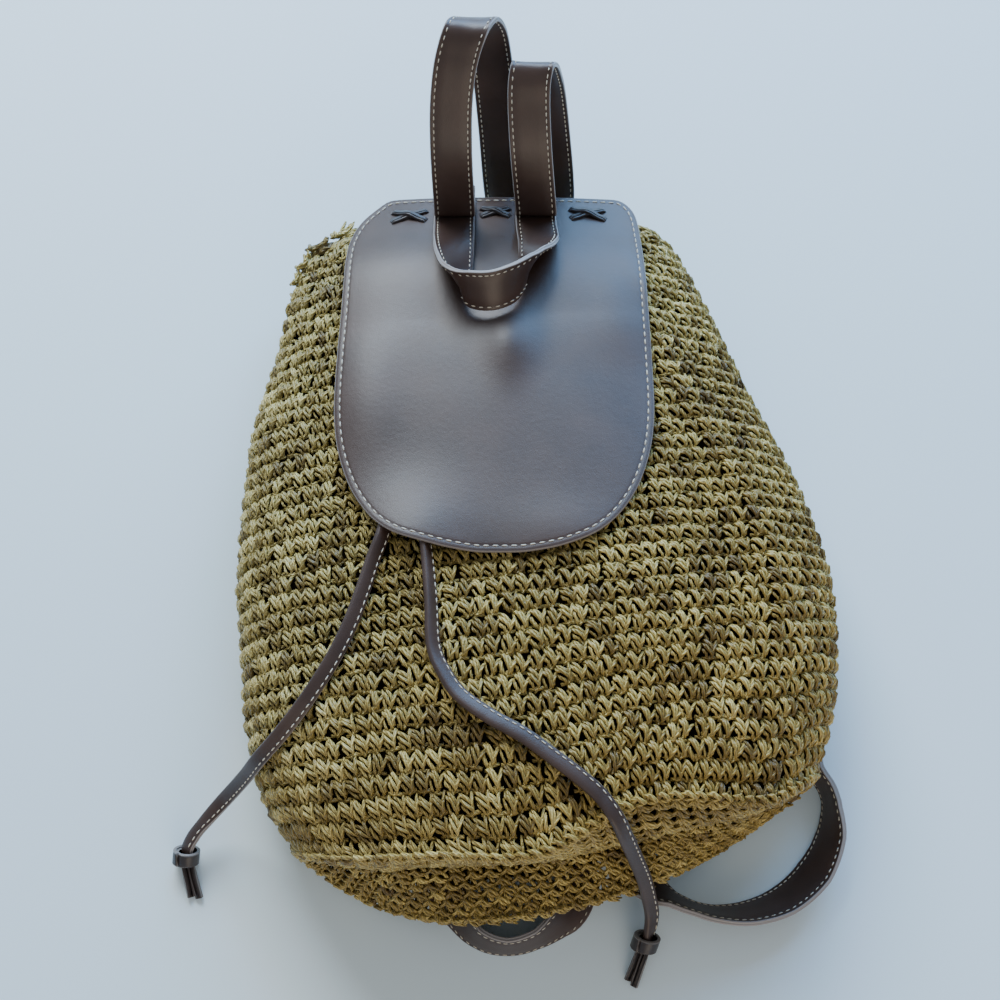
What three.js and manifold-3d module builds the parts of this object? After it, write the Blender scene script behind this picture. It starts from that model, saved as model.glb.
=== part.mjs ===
import * as THREE from "three";
import { mergeVertices } from "three/addons/utils/BufferGeometryUtils.js";
import Module from "manifold-3d";

// A woven straw backpack with leather trim, lying on its back with the flap up.
// Millimetres, +Z up, +Y towards the mouth, +X to the right when seen from above.

// Straw body
const bodyWidth = 284; // widest place, left to right
const bodyLength = 300; // base border to mouth rim
const bodyDepth = 88; // back panel to belly
const strawWall = 3;
const baseBulge = 5; // how far the base stands out at its middle
const ridgeHeight = 3.4; // crease between the front and the right side
const pleatDepth = 2.6; // gathers at the mouth
const pleatCount = 13;

// Leather
const flapWidth = 150;
const flapLength = 200;
const flapThickness = 2.2;
const strapWidth = 20;
const strapThickness = 2.4;
const leftLoop = 100; // how far the left shoulder strap stands up
const rightLoop = 78;
const handleReach = 62; // from the fold of the straps to the far side of the handle
const laceWidth = 2.6;
const laceThickness = 1.2;
const laceCross = 18.4; // width of a crossed lace
const cordWidth = 7; // of a drawstring, a folded strip of leather
const cordThickness = 3.2;
const knotRadius = 6.2;
const knotWall = 1.9;
const knotHeight = 7.5;
const tailWidth = 5;
const tailThickness = 2;

// Fits
const clearance = 0.35; // between pieces that touch
const foldRadius = 2.2; // of a strap's middle where it folds back

// Sections of the straw body from the base border to the mouth rim. along, bow and slant are
// shares of bodyLength, middle and half are shares of bodyWidth, depth and lift are shares of
// bodyDepth, wave, ridge and pleat say how much of the border's waves, the ridge and the
// gathers is there, turn is in degrees.
const SECTION_COLUMNS = ["along", "middle", "half", "depth", "lift", "bow", "slant", "wave", "ridge", "pleat", "turn"];
const SECTIONS = [
  [0.0, 0.091, 0.41, 0.8, 0.08, 0.055, 0.074, 1, 0, 0, 8],
  [0.083, 0.079, 0.457, 0.95, 0.012, 0.038, 0.04, 0.7, 0, 0, 8],
  [0.183, 0.07, 0.481, 1.0, 0, 0.02, 0.015, 0.35, 0.2, 0, 7.5],
  [0.3, 0.062, 0.488, 1.0, 0, 0.005, 0, 0, 0.7, 0, 7],
  [0.417, 0.043, 0.482, 0.966, 0, 0, 0, 0, 0.9, 0, 6],
  [0.533, 0.024, 0.46, 0.92, 0, 0, 0, 0, 1, 0, 5],
  [0.65, 0.003, 0.429, 0.875, 0, 0, 0, 0, 1, 0, 4],
  [0.767, -0.003, 0.392, 0.82, 0, 0, 0, 0, 0.9, 0.2, 3],
  [0.873, -0.015, 0.361, 0.72, 0.03, 0, 0, 0, 0.4, 0.6, 2],
  [0.95, -0.017, 0.328, 0.53, 0.1, 0, 0, 0, 0, 1, 1],
  [0.975, -0.003, 0.297, 0.4, 0.17, 0, 0, 0, 0, 1, 0],
  [0.993, 0, 0.272, 0.3, 0.22, 0, 0, 0, 0, 1, 0],
];
const WIDEST_AT = 0.33; // height of the widest place, as a share of a section's depth
const FULLNESS = { left: 2.3, right: 2.7, under: 4 }; // how square a section is
const RIDGE_FROM = 0.88; // share of a section's half width, at the base and at the mouth
const RIDGE_TO = 0.6;
const RIDGE_SPREAD = 0.07;
const SLANT_SKEW = 0.45; // how much more the base slants at its left than at its middle

// Waves of the base border along the front: place and reach are shares of a section's half
// width, push is a share of bodyLength away from the mouth.
const BORDER_WAVES = [
  { at: 0.36, reach: 0.34, push: -0.042 },
  { at: -0.12, reach: 0.25, push: 0.02 },
  { at: 0.86, reach: 0.16, push: 0.055 },
];

// Dents of the front. x and y are shares of bodyWidth and bodyLength, the reaches too, depth of bodyDepth.
const DENTS = [
  { x: -0.3, y: 0.39, reachX: 0.1, reachY: 0.022, depth: 0.07 },
  { x: -0.2, y: -0.2, reachX: 0.11, reachY: 0.12, depth: 0.03 },
  { x: 0.22, y: -0.34, reachX: 0.12, reachY: 0.07, depth: 0.035 },
  { x: 0.36, y: -0.08, reachX: 0.05, reachY: 0.12, depth: 0.03 },
];

// Where the underside rises over a strap that stands on edge. height is a share of strapWidth.
const STRAP_ARCHES = [
  { x: 0.5, y: -0.4, reachX: 0.1, reachY: 0.09, height: 1 },
  { x: 0.27, y: -0.6, reachX: 0.09, reachY: 0.09, height: 1 },
  { x: 0.015, y: -0.635, reachX: 0.2, reachY: 0.1, height: 1.2 },
];

// Outline of the flap from its top edge. along is a share of flapLength, left and right of flapWidth.
const FLAP_COLUMNS = ["along", "left", "right"];
const FLAP_OUTLINE = [
  [0, -0.375, 0.405],
  [0.03, -0.41, 0.44],
  [0.07, -0.455, 0.455],
  [0.123, -0.486, 0.46],
  [0.18, -0.5, 0.463],
  [0.34, -0.505, 0.468],
  [0.53, -0.512, 0.473],
  [0.66, -0.51, 0.471],
  [0.765, -0.485, 0.448],
  [0.87, -0.424, 0.39],
  [0.948, -0.324, 0.295],
  [0.986, -0.175, 0.175],
  [1, -0.07, 0.07],
];
const FLAP_TOP = 0.53; // the flap's top edge, as a share of bodyLength
const FLAP_BEND = 0.145; // where its margin turns down, as a share of flapLength
const FLAP_MARGIN_SLOPE = 0.5;

// Swells and hollows of the flap, as shares of flapWidth, flapLength and flapThickness.
const FLAP_WAVES = [
  { x: 0.03, along: 0.46, reachX: 0.07, reachAlong: 0.09, lift: 1.5 },
  { x: -0.42, along: 0.62, reachX: 0.1, reachAlong: 0.2, lift: 0.9 },
  { x: 0.4, along: 0.35, reachX: 0.1, reachAlong: 0.15, lift: 0.8 },
  { x: 0.2, along: 0.95, reachX: 0.2, reachAlong: 0.07, lift: 0.6 },
  { x: -0.28, along: 0.98, reachX: 0.17, reachAlong: 0.13, lift: 2.15 },
];

const aroundCount = 52;
const straw = new THREE.MeshStandardMaterial({ color: 0xa39a63, roughness: 0.9, metalness: 0 });
const brown = new THREE.MeshStandardMaterial({ color: 0x43362e, roughness: 0.45, metalness: 0 });
const darkBrown = new THREE.MeshStandardMaterial({ color: 0x3a2c22, roughness: 0.5, metalness: 0 });
const cordBrown = new THREE.MeshStandardMaterial({ color: 0x4a3a2e, roughness: 0.55, metalness: 0 });

const wasm = await Module();
wasm.setup();

// Value of each column at a place along a table, through its rows as a smooth curve.
function rowAt(table, columns, along) {
  let i = 0;
  while (i < table.length - 2 && table[i + 1][0] < along) i += 1;
  const span = table[i + 1][0] - table[i][0];
  const t = THREE.MathUtils.clamp((along - table[i][0]) / span, 0, 1);
  const slope = (k, column) => {
    const before = table[Math.max(k - 1, 0)];
    const after = table[Math.min(k + 1, table.length - 1)];
    return (after[column] - before[column]) / (after[0] - before[0]);
  };
  const row = {};
  columns.forEach((name, column) => {
    const a = table[i][column];
    const b = table[i + 1][column];
    const m = slope(i, column) * span;
    const n = slope(i + 1, column) * span;
    row[name] =
      a * (1 + 2 * t) * (1 - t) ** 2 + m * t * (1 - t) ** 2 + b * t * t * (3 - 2 * t) + n * t * t * (t - 1);
  });
  return row;
}

function bump(distance, reach) {
  return Math.exp(-((distance / reach) ** 2));
}

// A section of the body in millimetres.
function sectionAt(along) {
  const row = rowAt(SECTIONS, SECTION_COLUMNS, along);
  return {
    along,
    y: (along - 0.5) * bodyLength,
    x: row.middle * bodyWidth,
    half: row.half * bodyWidth,
    depth: row.depth * bodyDepth,
    lift: Math.max(row.lift, 0) * bodyDepth,
    bow: row.bow * bodyLength,
    slant: Math.max(row.slant, 0) * bodyLength,
    wave: Math.max(row.wave, 0) * bodyLength,
    ridge: Math.max(row.ridge, 0) * ridgeHeight,
    pleat: Math.max(row.pleat, 0) * pleatDepth,
    turn: THREE.MathUtils.degToRad(row.turn),
  };
}

// Height of the front over the lift, at a share u of the half width.
function frontProfile(section, u) {
  const n = u > 0 ? FULLNESS.right : FULLNESS.left;
  const round = (1 - Math.min(Math.abs(u), 1) ** n) ** (1 / n);
  const ridgeAt = THREE.MathUtils.lerp(RIDGE_FROM, RIDGE_TO, section.along);
  return section.depth * (WIDEST_AT + (1 - WIDEST_AT) * round) + section.ridge * bump(u - ridgeAt, RIDGE_SPREAD);
}

function dentAt(x, y) {
  let depth = 0;
  for (const dent of DENTS) {
    const across = bump(x / bodyWidth - dent.x, dent.reachX);
    const along = bump(y / bodyLength - dent.y, dent.reachY);
    depth += dent.depth * bodyDepth * across * along;
  }
  return depth;
}

// The place in plan of a share u of a section's half width, height being a share of its depth.
function inPlan(section, u, height) {
  let out = (1 - u * u) * section.bow + (1 - Math.abs(u) ** 2.8) * section.slant * (1 - SLANT_SKEW * u) * (1 - height);
  for (const wave of BORDER_WAVES) {
    out += wave.push * section.wave * bump(u - wave.at, wave.reach) * (1 - u * u) * height ** 2;
  }
  const cos = Math.cos(section.turn);
  const sin = Math.sin(section.turn);
  return new THREE.Vector2(section.x + u * section.half * cos + out * sin, section.y + u * section.half * sin - out * cos);
}

// The straps pass under the bag to the right of this place, in a shallow groove of its back.
const grooveFrom = -0.235 * bodyWidth;
const grooveTo = -0.195 * bodyWidth;
const grooveHeight = strapThickness + 2 * clearance;
function underside(x, y, calm) {
  let height = grooveHeight * THREE.MathUtils.smoothstep(x, grooveFrom, grooveTo);
  if (calm) return height;
  for (const arch of STRAP_ARCHES) {
    const across = bump(x / bodyWidth - arch.x, arch.reachX);
    height += arch.height * strapWidth * across * bump(y / bodyLength - arch.y, arch.reachY);
  }
  return height;
}

// A point of the body's outer surface, or with calm one without waves and arches.
function skin(along, theta, calm = false) {
  const section = sectionAt(along);
  if (calm) section.wave = 0;
  const c = Math.cos(theta);
  const s = Math.sin(theta);
  const n = s < 0 ? FULLNESS.under : c > 0 ? FULLNESS.right : FULLNESS.left;
  const gather = 1 - (section.pleat / section.half) * (1 - Math.cos(pleatCount * theta));
  const u = Math.sign(c) * Math.abs(c) ** (2 / n) * gather;
  let z;
  if (s < 0) {
    z = section.depth * WIDEST_AT * (1 - Math.abs(s) ** (2 / n));
    z += section.pleat * (1 - Math.cos(pleatCount * theta)) * -s;
  } else {
    z = frontProfile(section, u) - section.pleat * (1 - Math.cos(pleatCount * theta)) * s;
  }
  const place = inPlan(section, u, z / section.depth);
  z += section.lift;
  if (s > 0) z -= dentAt(place.x, place.y) * s;
  return new THREE.Vector3(place.x, place.y, Math.max(z, underside(place.x, place.y, calm)));
}

// Height of the front, without its gathers and dents, over a place in plan.
function frontHeight(x, y) {
  let low = 0;
  let high = SECTIONS[SECTIONS.length - 1][0];
  for (let i = 0; i < 30; i += 1) {
    const section = sectionAt((low + high) / 2);
    const dx = x - section.x;
    const dy = y - section.y;
    const cos = Math.cos(section.turn);
    const sin = Math.sin(section.turn);
    const u = THREE.MathUtils.clamp((dx * cos + dy * sin) / section.half, -1, 1);
    if (dy * cos - dx * sin + section.bow * (1 - u * u) > 0) low = section.along;
    else high = section.along;
  }
  const section = sectionAt((low + high) / 2);
  const u = ((x - section.x) * Math.cos(section.turn) + (y - section.y) * Math.sin(section.turn)) / section.half;
  return section.lift + frontProfile(section, u);
}

// A closed solid from rings of points, each ring going round once, with a point at each end.
function closedFromRings(start, rings, end) {
  const positions = [start, ...rings.flat(), end].flatMap((p) => [p.x, p.y, p.z]);
  const count = rings[0].length;
  const last = 1 + rings.length * count;
  const at = (ring, k) => 1 + ring * count + (k % count);
  const index = [];
  for (let k = 0; k < count; k += 1) {
    index.push(0, at(0, k + 1), at(0, k));
    index.push(last, at(rings.length - 1, k), at(rings.length - 1, k + 1));
    for (let ring = 0; ring < rings.length - 1; ring += 1) {
      index.push(at(ring, k), at(ring, k + 1), at(ring + 1, k));
      index.push(at(ring + 1, k), at(ring, k + 1), at(ring + 1, k + 1));
    }
  }
  const geometry = new THREE.BufferGeometry();
  geometry.setAttribute("position", new THREE.Float32BufferAttribute(positions, 3));
  geometry.setIndex(index);
  geometry.computeVertexNormals();
  return geometry;
}

function piece(name, geometry, material) {
  const mesh = new THREE.Mesh(geometry, material);
  mesh.name = name;
  return mesh;
}

// The straw body: one wall, closed at the base and open at the gathered mouth.
function strawBody() {
  const borders = [];
  const stops = [0, 0.025, 0.055, 0.09, 0.13, 0.175, 0.22, 0.27, 0.32, 0.37, 0.42, 0.47, 0.52, 0.57, 0.62];
  stops.push(0.67, 0.72, 0.77, 0.815, 0.855, 0.89, 0.92, 0.945, 0.965, 0.982, 0.993);
  const ringAt = (along, calm) =>
    Array.from({ length: aroundCount }, (_, k) => skin(along, (-k / aroundCount) * 2 * Math.PI, calm));
  for (const along of stops) borders.push(ringAt(along, false));
  const border = borders[0];
  const calmBorder = ringAt(0, true);
  const middle = new THREE.Vector3();
  for (const p of calmBorder) middle.addScaledVector(p, 1 / border.length);
  const turn = sectionAt(0).turn;
  const out = new THREE.Vector3(Math.sin(turn), -Math.cos(turn), 0);
  const base = [0.25, 0.5, 0.72, 0.9].map((share) =>
    border.map((p, k) => {
      const edge = calmBorder[k].clone().lerp(p, share ** 1.5);
      return edge.sub(middle).multiplyScalar(share).add(middle).addScaledVector(out, baseBulge * (1 - share ** 4));
    }),
  );
  const outer = [...base, ...borders];
  const tip = middle.clone().addScaledVector(out, baseBulge);
  const inner = outer.map((ring, i) => ring.map((p, k) => p.clone().addScaledVector(normalAt(outer, i, k, tip), -strawWall)));
  const innerTip = tip.clone().addScaledVector(out, -strawWall);
  return closedFromRings(tip, [...outer, ...inner.reverse()], innerTip);
}

// The outward normal of a net of rings at one of its points.
function normalAt(rings, i, k, tip) {
  const count = rings[i].length;
  const before = i > 0 ? rings[i - 1][k] : tip;
  const after = rings[Math.min(i + 1, rings.length - 1)][k];
  const along = after.clone().sub(before);
  const around = rings[i][(k + 1) % count].clone().sub(rings[i][(k + count - 1) % count]);
  return around.cross(along).normalize();
}

// A place on the flap: x is a share of flapWidth, along a share of flapLength from its top edge.
const flapTopY = FLAP_TOP * bodyLength;
function flapPlan(x, along) {
  return new THREE.Vector2(x * flapWidth, flapTopY - along * flapLength);
}

// Height of the flap's underside. Past the bend its margin goes straight down to its top edge.
function flapUnder(x, along) {
  const bend = Math.max(along, FLAP_BEND);
  const place = flapPlan(x * 0.92, bend);
  let z = frontHeight(place.x, place.y) + 2 * clearance;
  for (const wave of FLAP_WAVES) {
    z += wave.lift * flapThickness * bump(x - wave.x, wave.reachX) * bump(bend - wave.along, wave.reachAlong);
  }
  return z - Math.max(FLAP_BEND - along, 0) * flapLength * FLAP_MARGIN_SLOPE;
}

// A point at a height over the flap's upper face.
function onFlap(x, along, over) {
  const place = flapPlan(x, along);
  return new THREE.Vector3(place.x, place.y, flapUnder(x, along) + flapThickness + over);
}

function flap() {
  const rows = 22;
  const columns = 14;
  const rings = [];
  for (let i = 0; i <= rows; i += 1) {
    const along = (1 - Math.cos((Math.PI * i) / rows)) / 2;
    const { left, right } = rowAt(FLAP_OUTLINE, FLAP_COLUMNS, along);
    const upper = [];
    const under = [];
    for (let j = 0; j <= columns; j += 1) {
      const x = THREE.MathUtils.lerp(left, right, j / columns);
      upper.push(onFlap(x, along, 0));
      under.push(onFlap(x, along, -flapThickness));
    }
    rings.push([...under, ...upper.reverse()]);
  }
  const under = columns / 2;
  const over = 2 * columns + 1 - under;
  const middle = (ring) => ring[under].clone().lerp(ring[over], 0.5);
  return closedFromRings(middle(rings[0]), rings, middle(rings[rows]));
}

// A direction from its heading in plan and its rise, in degrees.
function direction(heading, rise) {
  const a = THREE.MathUtils.degToRad(heading);
  const b = THREE.MathUtils.degToRad(rise);
  return new THREE.Vector3(Math.cos(a) * Math.cos(b), Math.sin(a) * Math.cos(b), Math.sin(b));
}

// A flat strap through stations, each with its middle and the direction across it.
function ribbon(stations, width, thickness, step = 5.2) {
  const curve = new THREE.CatmullRomCurve3(stations.map((s) => s.at), false, "centripetal");
  const rings = [];
  for (let i = 0; i < stations.length - 1; i += 1) {
    const length = stations[i].at.distanceTo(stations[i + 1].at);
    const parts = Math.max(1, Math.round(length / step));
    const lastOne = i === stations.length - 2 ? 1 : 0;
    for (let k = 0; k < parts + lastOne; k += 1) {
      const t = (i + k / parts) / (stations.length - 1);
      const at = curve.getPoint(t);
      const forward = curve.getTangent(t);
      const across = stations[i].across.clone().lerp(stations[i + 1].across, k / parts);
      across.addScaledVector(forward, -across.dot(forward)).normalize();
      const up = across.clone().cross(forward).normalize();
      const corner = (side, face) =>
        at.clone().addScaledVector(across, (side * width) / 2).addScaledVector(up, (face * thickness) / 2);
      const ring = [corner(-1, -1), corner(-1, 1), corner(1, 1), corner(1, -1)];
      const below = Math.max(0, ...ring.map((p) => -p.z));
      for (const p of ring) p.z += below;
      rings.push(ring);
    }
  }
  const middle = (ring) => ring.reduce((sum, p) => sum.addScaledVector(p, 0.25), new THREE.Vector3());
  return closedFromRings(middle(rings[0]), rings, middle(rings[rings.length - 1]));
}

const strapSeat = 2.5 * clearance + strapThickness / 2; // from a face to the middle of a strap on it

const LACE_SLOPE = 0.4; // of each lace, from the cross line
const NEARBY = 0.01; // a small step on the flap, to find its slope

// The fold of both shoulder straps lies across the flap here, as a share of flapLength.
const FOLD_AT = 0.083;
const FOOT_END = 0.03;
const SEAT_LEFT = -0.148; // places of the straps' middles, as shares of flapWidth
const SEAT_RIGHT = 0.118;

// The handle: a strap whose legs lie on the flap, and whose far side stands on edge with its
// outer edge up. x is a share of flapWidth, reach a share of handleReach past the fold, heading
// is where the outer edge lies, in degrees in plan, and rise how far that edge is lifted.
const HANDLE_LEFT = [
  [-0.36, -0.15, 180, 0],
  [-0.1, -0.15, 180, 0],
  [0.12, -0.15, 180, 2],
  [0.32, -0.149, 176, 12],
  [0.56, -0.146, 165, 28],
  [0.77, -0.135, 140, 46],
  [0.87, -0.1, 112, 52],
  [0.9, -0.03, 92, 51],
];
const HANDLE_RIGHT = [
  [0.84, 0.035, 84, 50],
  [0.7, 0.085, 62, 44],
  [0.6, 0.1, 44, 34],
  [0.5, 0.117, 28, 24],
  [0.4, 0.1225, 17, 15],
  [0.3, 0.124, 8, 7],
  [0.1, 0.118, 0, 1],
  [-0.12, 0.118, 0, 0],
  [-0.36, 0.118, 0, 0],
];
const FREE_RISE = 20; // lifted this far, the handle no longer leans as the flap does
function onFlapAcross(x, along, heading, rise) {
  const plan = direction(heading, 0).multiplyScalar(strapWidth / 2);
  const seat = strapSeat + (2 * clearance * Math.max(rise, 0)) / FREE_RISE;
  const over = (share) => onFlap(x + (share * plan.x) / flapWidth, along - (share * plan.y) / flapLength, seat);
  const lean = THREE.MathUtils.radToDeg(Math.atan2(over(1).z - over(-1).z, strapWidth));
  const across = direction(heading, rise + lean * Math.max(0, 1 - rise / FREE_RISE));
  const flat = Math.hypot(across.x, across.y);
  const half = (across.z * strapWidth) / 2;
  const at = over(0);
  at.z = Math.max(...[-1, -0.7, -0.4, 0, 0.4, 1].map((t) => over(t * flat).z - t * half));
  return { at, across };
}
function handle() {
  const stations = [...HANDLE_LEFT, ...HANDLE_RIGHT].map(([reach, x, heading, rise]) =>
    onFlapAcross(x, FOLD_AT + (reach * handleReach) / flapLength, heading, rise),
  );
  return ribbon(stations, strapWidth, strapThickness);
}

// The foot of a shoulder strap on the handle's leg, and its sharp fold back over itself.
function footAndFold(seat, side) {
  const { across } = onFlapAcross(seat, (FOOT_END + FOLD_AT) / 2, side < 0 ? 180 : 0, 0);
  const over = strapSeat + strapThickness + 2.5 * clearance;
  const end = onFlap(seat, FOOT_END, over);
  const start = onFlap(seat, FOLD_AT, over);
  const forward = start.clone().sub(end).normalize();
  const up = new THREE.Vector3(1, 0, 0).cross(forward).negate();
  if (up.z < 0) up.negate();
  const centre = start.clone().addScaledVector(up, foldRadius);
  const stations = [{ at: end, across }, { at: end.clone().lerp(start, 0.5), across }];
  for (const degrees of [0, 25, 50, 75, 100]) {
    const angle = THREE.MathUtils.degToRad(degrees);
    const at = centre.clone().addScaledVector(up, -foldRadius * Math.cos(angle));
    at.addScaledVector(forward, foldRadius * Math.sin(angle));
    stations.push({ at, across });
  }
  return stations;
}

// The rest of each shoulder strap. rise rows are shares of the loop's size from the fold.
// ground rows lie on the surface under and beside the bag: x and y are shares of bodyWidth and
// bodyLength and give the strap's lower edge, then the heading of its upper edge in plan and
// how far that edge is lifted, in degrees.
const LEFT_RISE = [
  [-0.01, 0.157, 0.325],
  [-0.004, 0.309, 0.515],
  [0.022, 0.432, 0.65],
  [0.067, 0.535, 0.73],
  [0.11, 0.615, 0.69],
  [0.15, 0.65, 0.57],
  [0.18, 0.625, 0.36],
  [0.21, 0.52, -0.025],
  [0.235, 0.38, -0.405],
];
const LEFT_GROUND = [
  [0.049, 0.56, 180, 0],
  [0.052, 0.47, 180, 0],
  [0.08, 0.1, 176, 0],
  [0.11, -0.2, 176, 0],
  [0.146, -0.5, 176, 0],
  [0.158, -0.585, 180, 8],
  [0.14, -0.63, 160, 32],
  [0.105, -0.658, 125, 56],
  [0.06, -0.677, 100, 72],
  [0.01, -0.686, 88, 76],
  [-0.04, -0.675, 70, 70],
  [-0.085, -0.642, 45, 44],
  [-0.118, -0.6, 30, 14],
  [-0.15, -0.555, 30, 0],
  [-0.175, -0.5, 25, 0],
];
const RIGHT_RISE = [
  [-0.038, 0.209, 0.39],
  [-0.053, 0.405, 0.595],
  [-0.049, 0.505, 0.69],
  [-0.033, 0.575, 0.72],
  [-0.005, 0.635, 0.64],
  [0.029, 0.68, 0.45],
  [0.055, 0.69, 0.27],
  [0.096, 0.64, -0.096],
  [0.142, 0.465, -0.55],
];
const RIGHT_GROUND = [
  [0.067, 0.56, 0, 0],
  [0.07, 0.47, 6, 0],
  [0.13, 0.2, 20, 0],
  [0.235, -0.05, 22, 0],
  [0.345, -0.2, 20, 0],
  [0.4, -0.27, 16, 0],
  [0.435, -0.315, 10, 12],
  [0.468, -0.355, 0, 38],
  [0.493, -0.386, -15, 62],
  [0.513, -0.411, -25, 76],
  [0.529, -0.434, -20, 80],
  [0.535, -0.453, -14, 80],
  [0.534, -0.471, -12, 76],
  [0.522, -0.504, -27, 58],
  [0.49, -0.55, -42, 42],
  [0.445, -0.589, -58, 46],
  [0.395, -0.61, -75, 56],
  [0.349, -0.616, -90, 66],
  [0.317, -0.611, -106, 70],
  [0.284, -0.596, -118, 66],
  [0.262, -0.573, -128, 44],
  [0.246, -0.545, -136, 20],
  [0.232, -0.515, -140, 0],
  [0.21, -0.465, -140, 0],
];
function shoulderStrap({ seat, side, loop, rise, ground }) {
  const across = new THREE.Vector3(side, 0, 0);
  const stations = footAndFold(seat, side);
  const fold = stations[stations.length - 1].at;
  for (const row of rise) {
    stations.push({ at: new THREE.Vector3(...row).multiplyScalar(loop).add(fold), across });
  }
  for (const [x, y, heading, lifted] of ground) {
    const upper = direction(heading, lifted);
    const flat = Math.cos(THREE.MathUtils.degToRad(lifted));
    const at = new THREE.Vector3(x * bodyWidth, y * bodyLength, (strapThickness / 2) * flat);
    stations.push({ at: at.addScaledVector(upper, strapWidth / 2), across: upper });
  }
  return ribbon(stations, strapWidth, strapThickness);
}

// Two leather laces that cross on the flap's margin, as one flat cross that follows its slope.
// x is a share of flapWidth and along of flapLength.
const LACES = [
  { name: "lacing_left", x: -0.3, along: 0.07 },
  { name: "lacing_centre", x: -0.015, along: 0.062 },
  { name: "lacing_right", x: 0.29, along: 0.065 },
];
function lacing({ x, along }) {
  const arm = laceCross / 2;
  const half = laceWidth / 2;
  const rise = arm * LACE_SLOPE;
  const outline = new THREE.Shape();
  const corners = [[half, 0], [arm, rise - half], [arm, rise + half], [0, half]];
  corners.push([-arm, rise + half], [-arm, rise - half], [-half, 0]);
  const lower = corners.slice(1, -1).reverse().map(([a, b]) => [a, -b]);
  outline.setFromPoints([...corners, ...lower].map(([a, b]) => new THREE.Vector2(a, b)));
  const geometry = new THREE.ExtrudeGeometry(outline, { depth: laceThickness, bevelEnabled: false });
  const middle = onFlap(x, along, clearance);
  const forward = onFlap(x, along - NEARBY, clearance).sub(middle).normalize();
  const right = onFlap(x + NEARBY, along, clearance).sub(middle).normalize();
  const up = right.clone().cross(forward).normalize();
  forward.copy(up).cross(right);
  geometry.applyMatrix4(new THREE.Matrix4().makeBasis(right, forward, up).setPosition(middle));
  return geometry;
}

// The drawstrings, from under the flap's lower edge to their knots, in millimetres.
const DRAWSTRING_LEFT = [
  [-49.8, -22, 82],
  [-51.4, -27.5, 82.2],
  [-52.9, -33, 82.5],
  [-56.1, -41.4, 81.6],
  [-60.2, -55.1, 81],
  [-65.6, -70.8, 80.3],
  [-72.8, -86.3, 78.9],
  [-84, -103.4, 74.5],
  [-95.5, -116.7, 66.8],
  [-106.7, -126.3, 55],
  [-113.6, -131, 42],
  [-120.4, -135, 30],
  [-127.4, -139.8, 20.5],
  [-134.5, -146.4, 15],
  [-141.3, -154.4, 12],
  [-143.9, -159, 9.8],
  [-144.6, -162.2, 7],
];
const DRAWSTRING_RIGHT = [
  [-34.6, -29, 85.4],
  [-33.3, -34, 85.9],
  [-32.4, -39.5, 86.2],
  [-30.2, -60.9, 87.3],
  [-28.4, -84.5, 88.2],
  [-24.4, -94, 89],
  [-17.8, -103.9, 89.5],
  [-5.2, -113.5, 89.8],
  [9.8, -122, 89.4],
  [22.1, -130.8, 88.4],
  [32.4, -138.3, 86.5],
  [42.2, -146.5, 83.6],
  [48.8, -155.3, 81],
  [53.6, -163, 71.8],
  [58.9, -169.8, 54.4],
  [63.6, -176.6, 38],
  [66.8, -184, 25],
  [68.4, -190.2, 17],
  [67.6, -197.4, 11.5],
  [66.4, -200.8, 8],
];
const CORD_STEP = 7;
function drawstring(route) {
  const path = new THREE.CatmullRomCurve3(route.map((p) => new THREE.Vector3(...p)), false, "centripetal");
  const across = cordWidth / 2;
  const up = cordThickness / 2;
  const flat = 0.55;
  const corners = [[up, flat * across], [flat * up, across], [-flat * up, across], [-up, flat * across]];
  const outline = new THREE.Shape();
  const round = [...corners, ...corners.map(([a, b]) => [-a, -b])];
  outline.setFromPoints(round.map(([a, b]) => new THREE.Vector2(a, b)));
  const steps = Math.round(path.getLength() / CORD_STEP);
  return new THREE.ExtrudeGeometry(outline, { steps, bevelEnabled: false, extrudePath: path });
}

// Solids that overlap, joined into one.
function joined(geometries) {
  const solids = geometries.map((geometry) => {
    const plain = new THREE.BufferGeometry();
    plain.setAttribute("position", geometry.getAttribute("position"));
    plain.setIndex(geometry.index);
    const merged = mergeVertices(plain);
    const vertProperties = new Float32Array(merged.getAttribute("position").array);
    const triVerts = new Uint32Array(merged.index.array);
    return new wasm.Manifold(new wasm.Mesh({ numProp: 3, vertProperties, triVerts }));
  });
  const { vertProperties, triVerts } = solids.reduce((whole, solid) => whole.add(solid)).getMesh();
  const geometry = new THREE.BufferGeometry();
  geometry.setAttribute("position", new THREE.BufferAttribute(vertProperties, 3));
  geometry.setIndex(new THREE.BufferAttribute(triVerts, 1));
  geometry.computeVertexNormals();
  return geometry;
}

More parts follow.
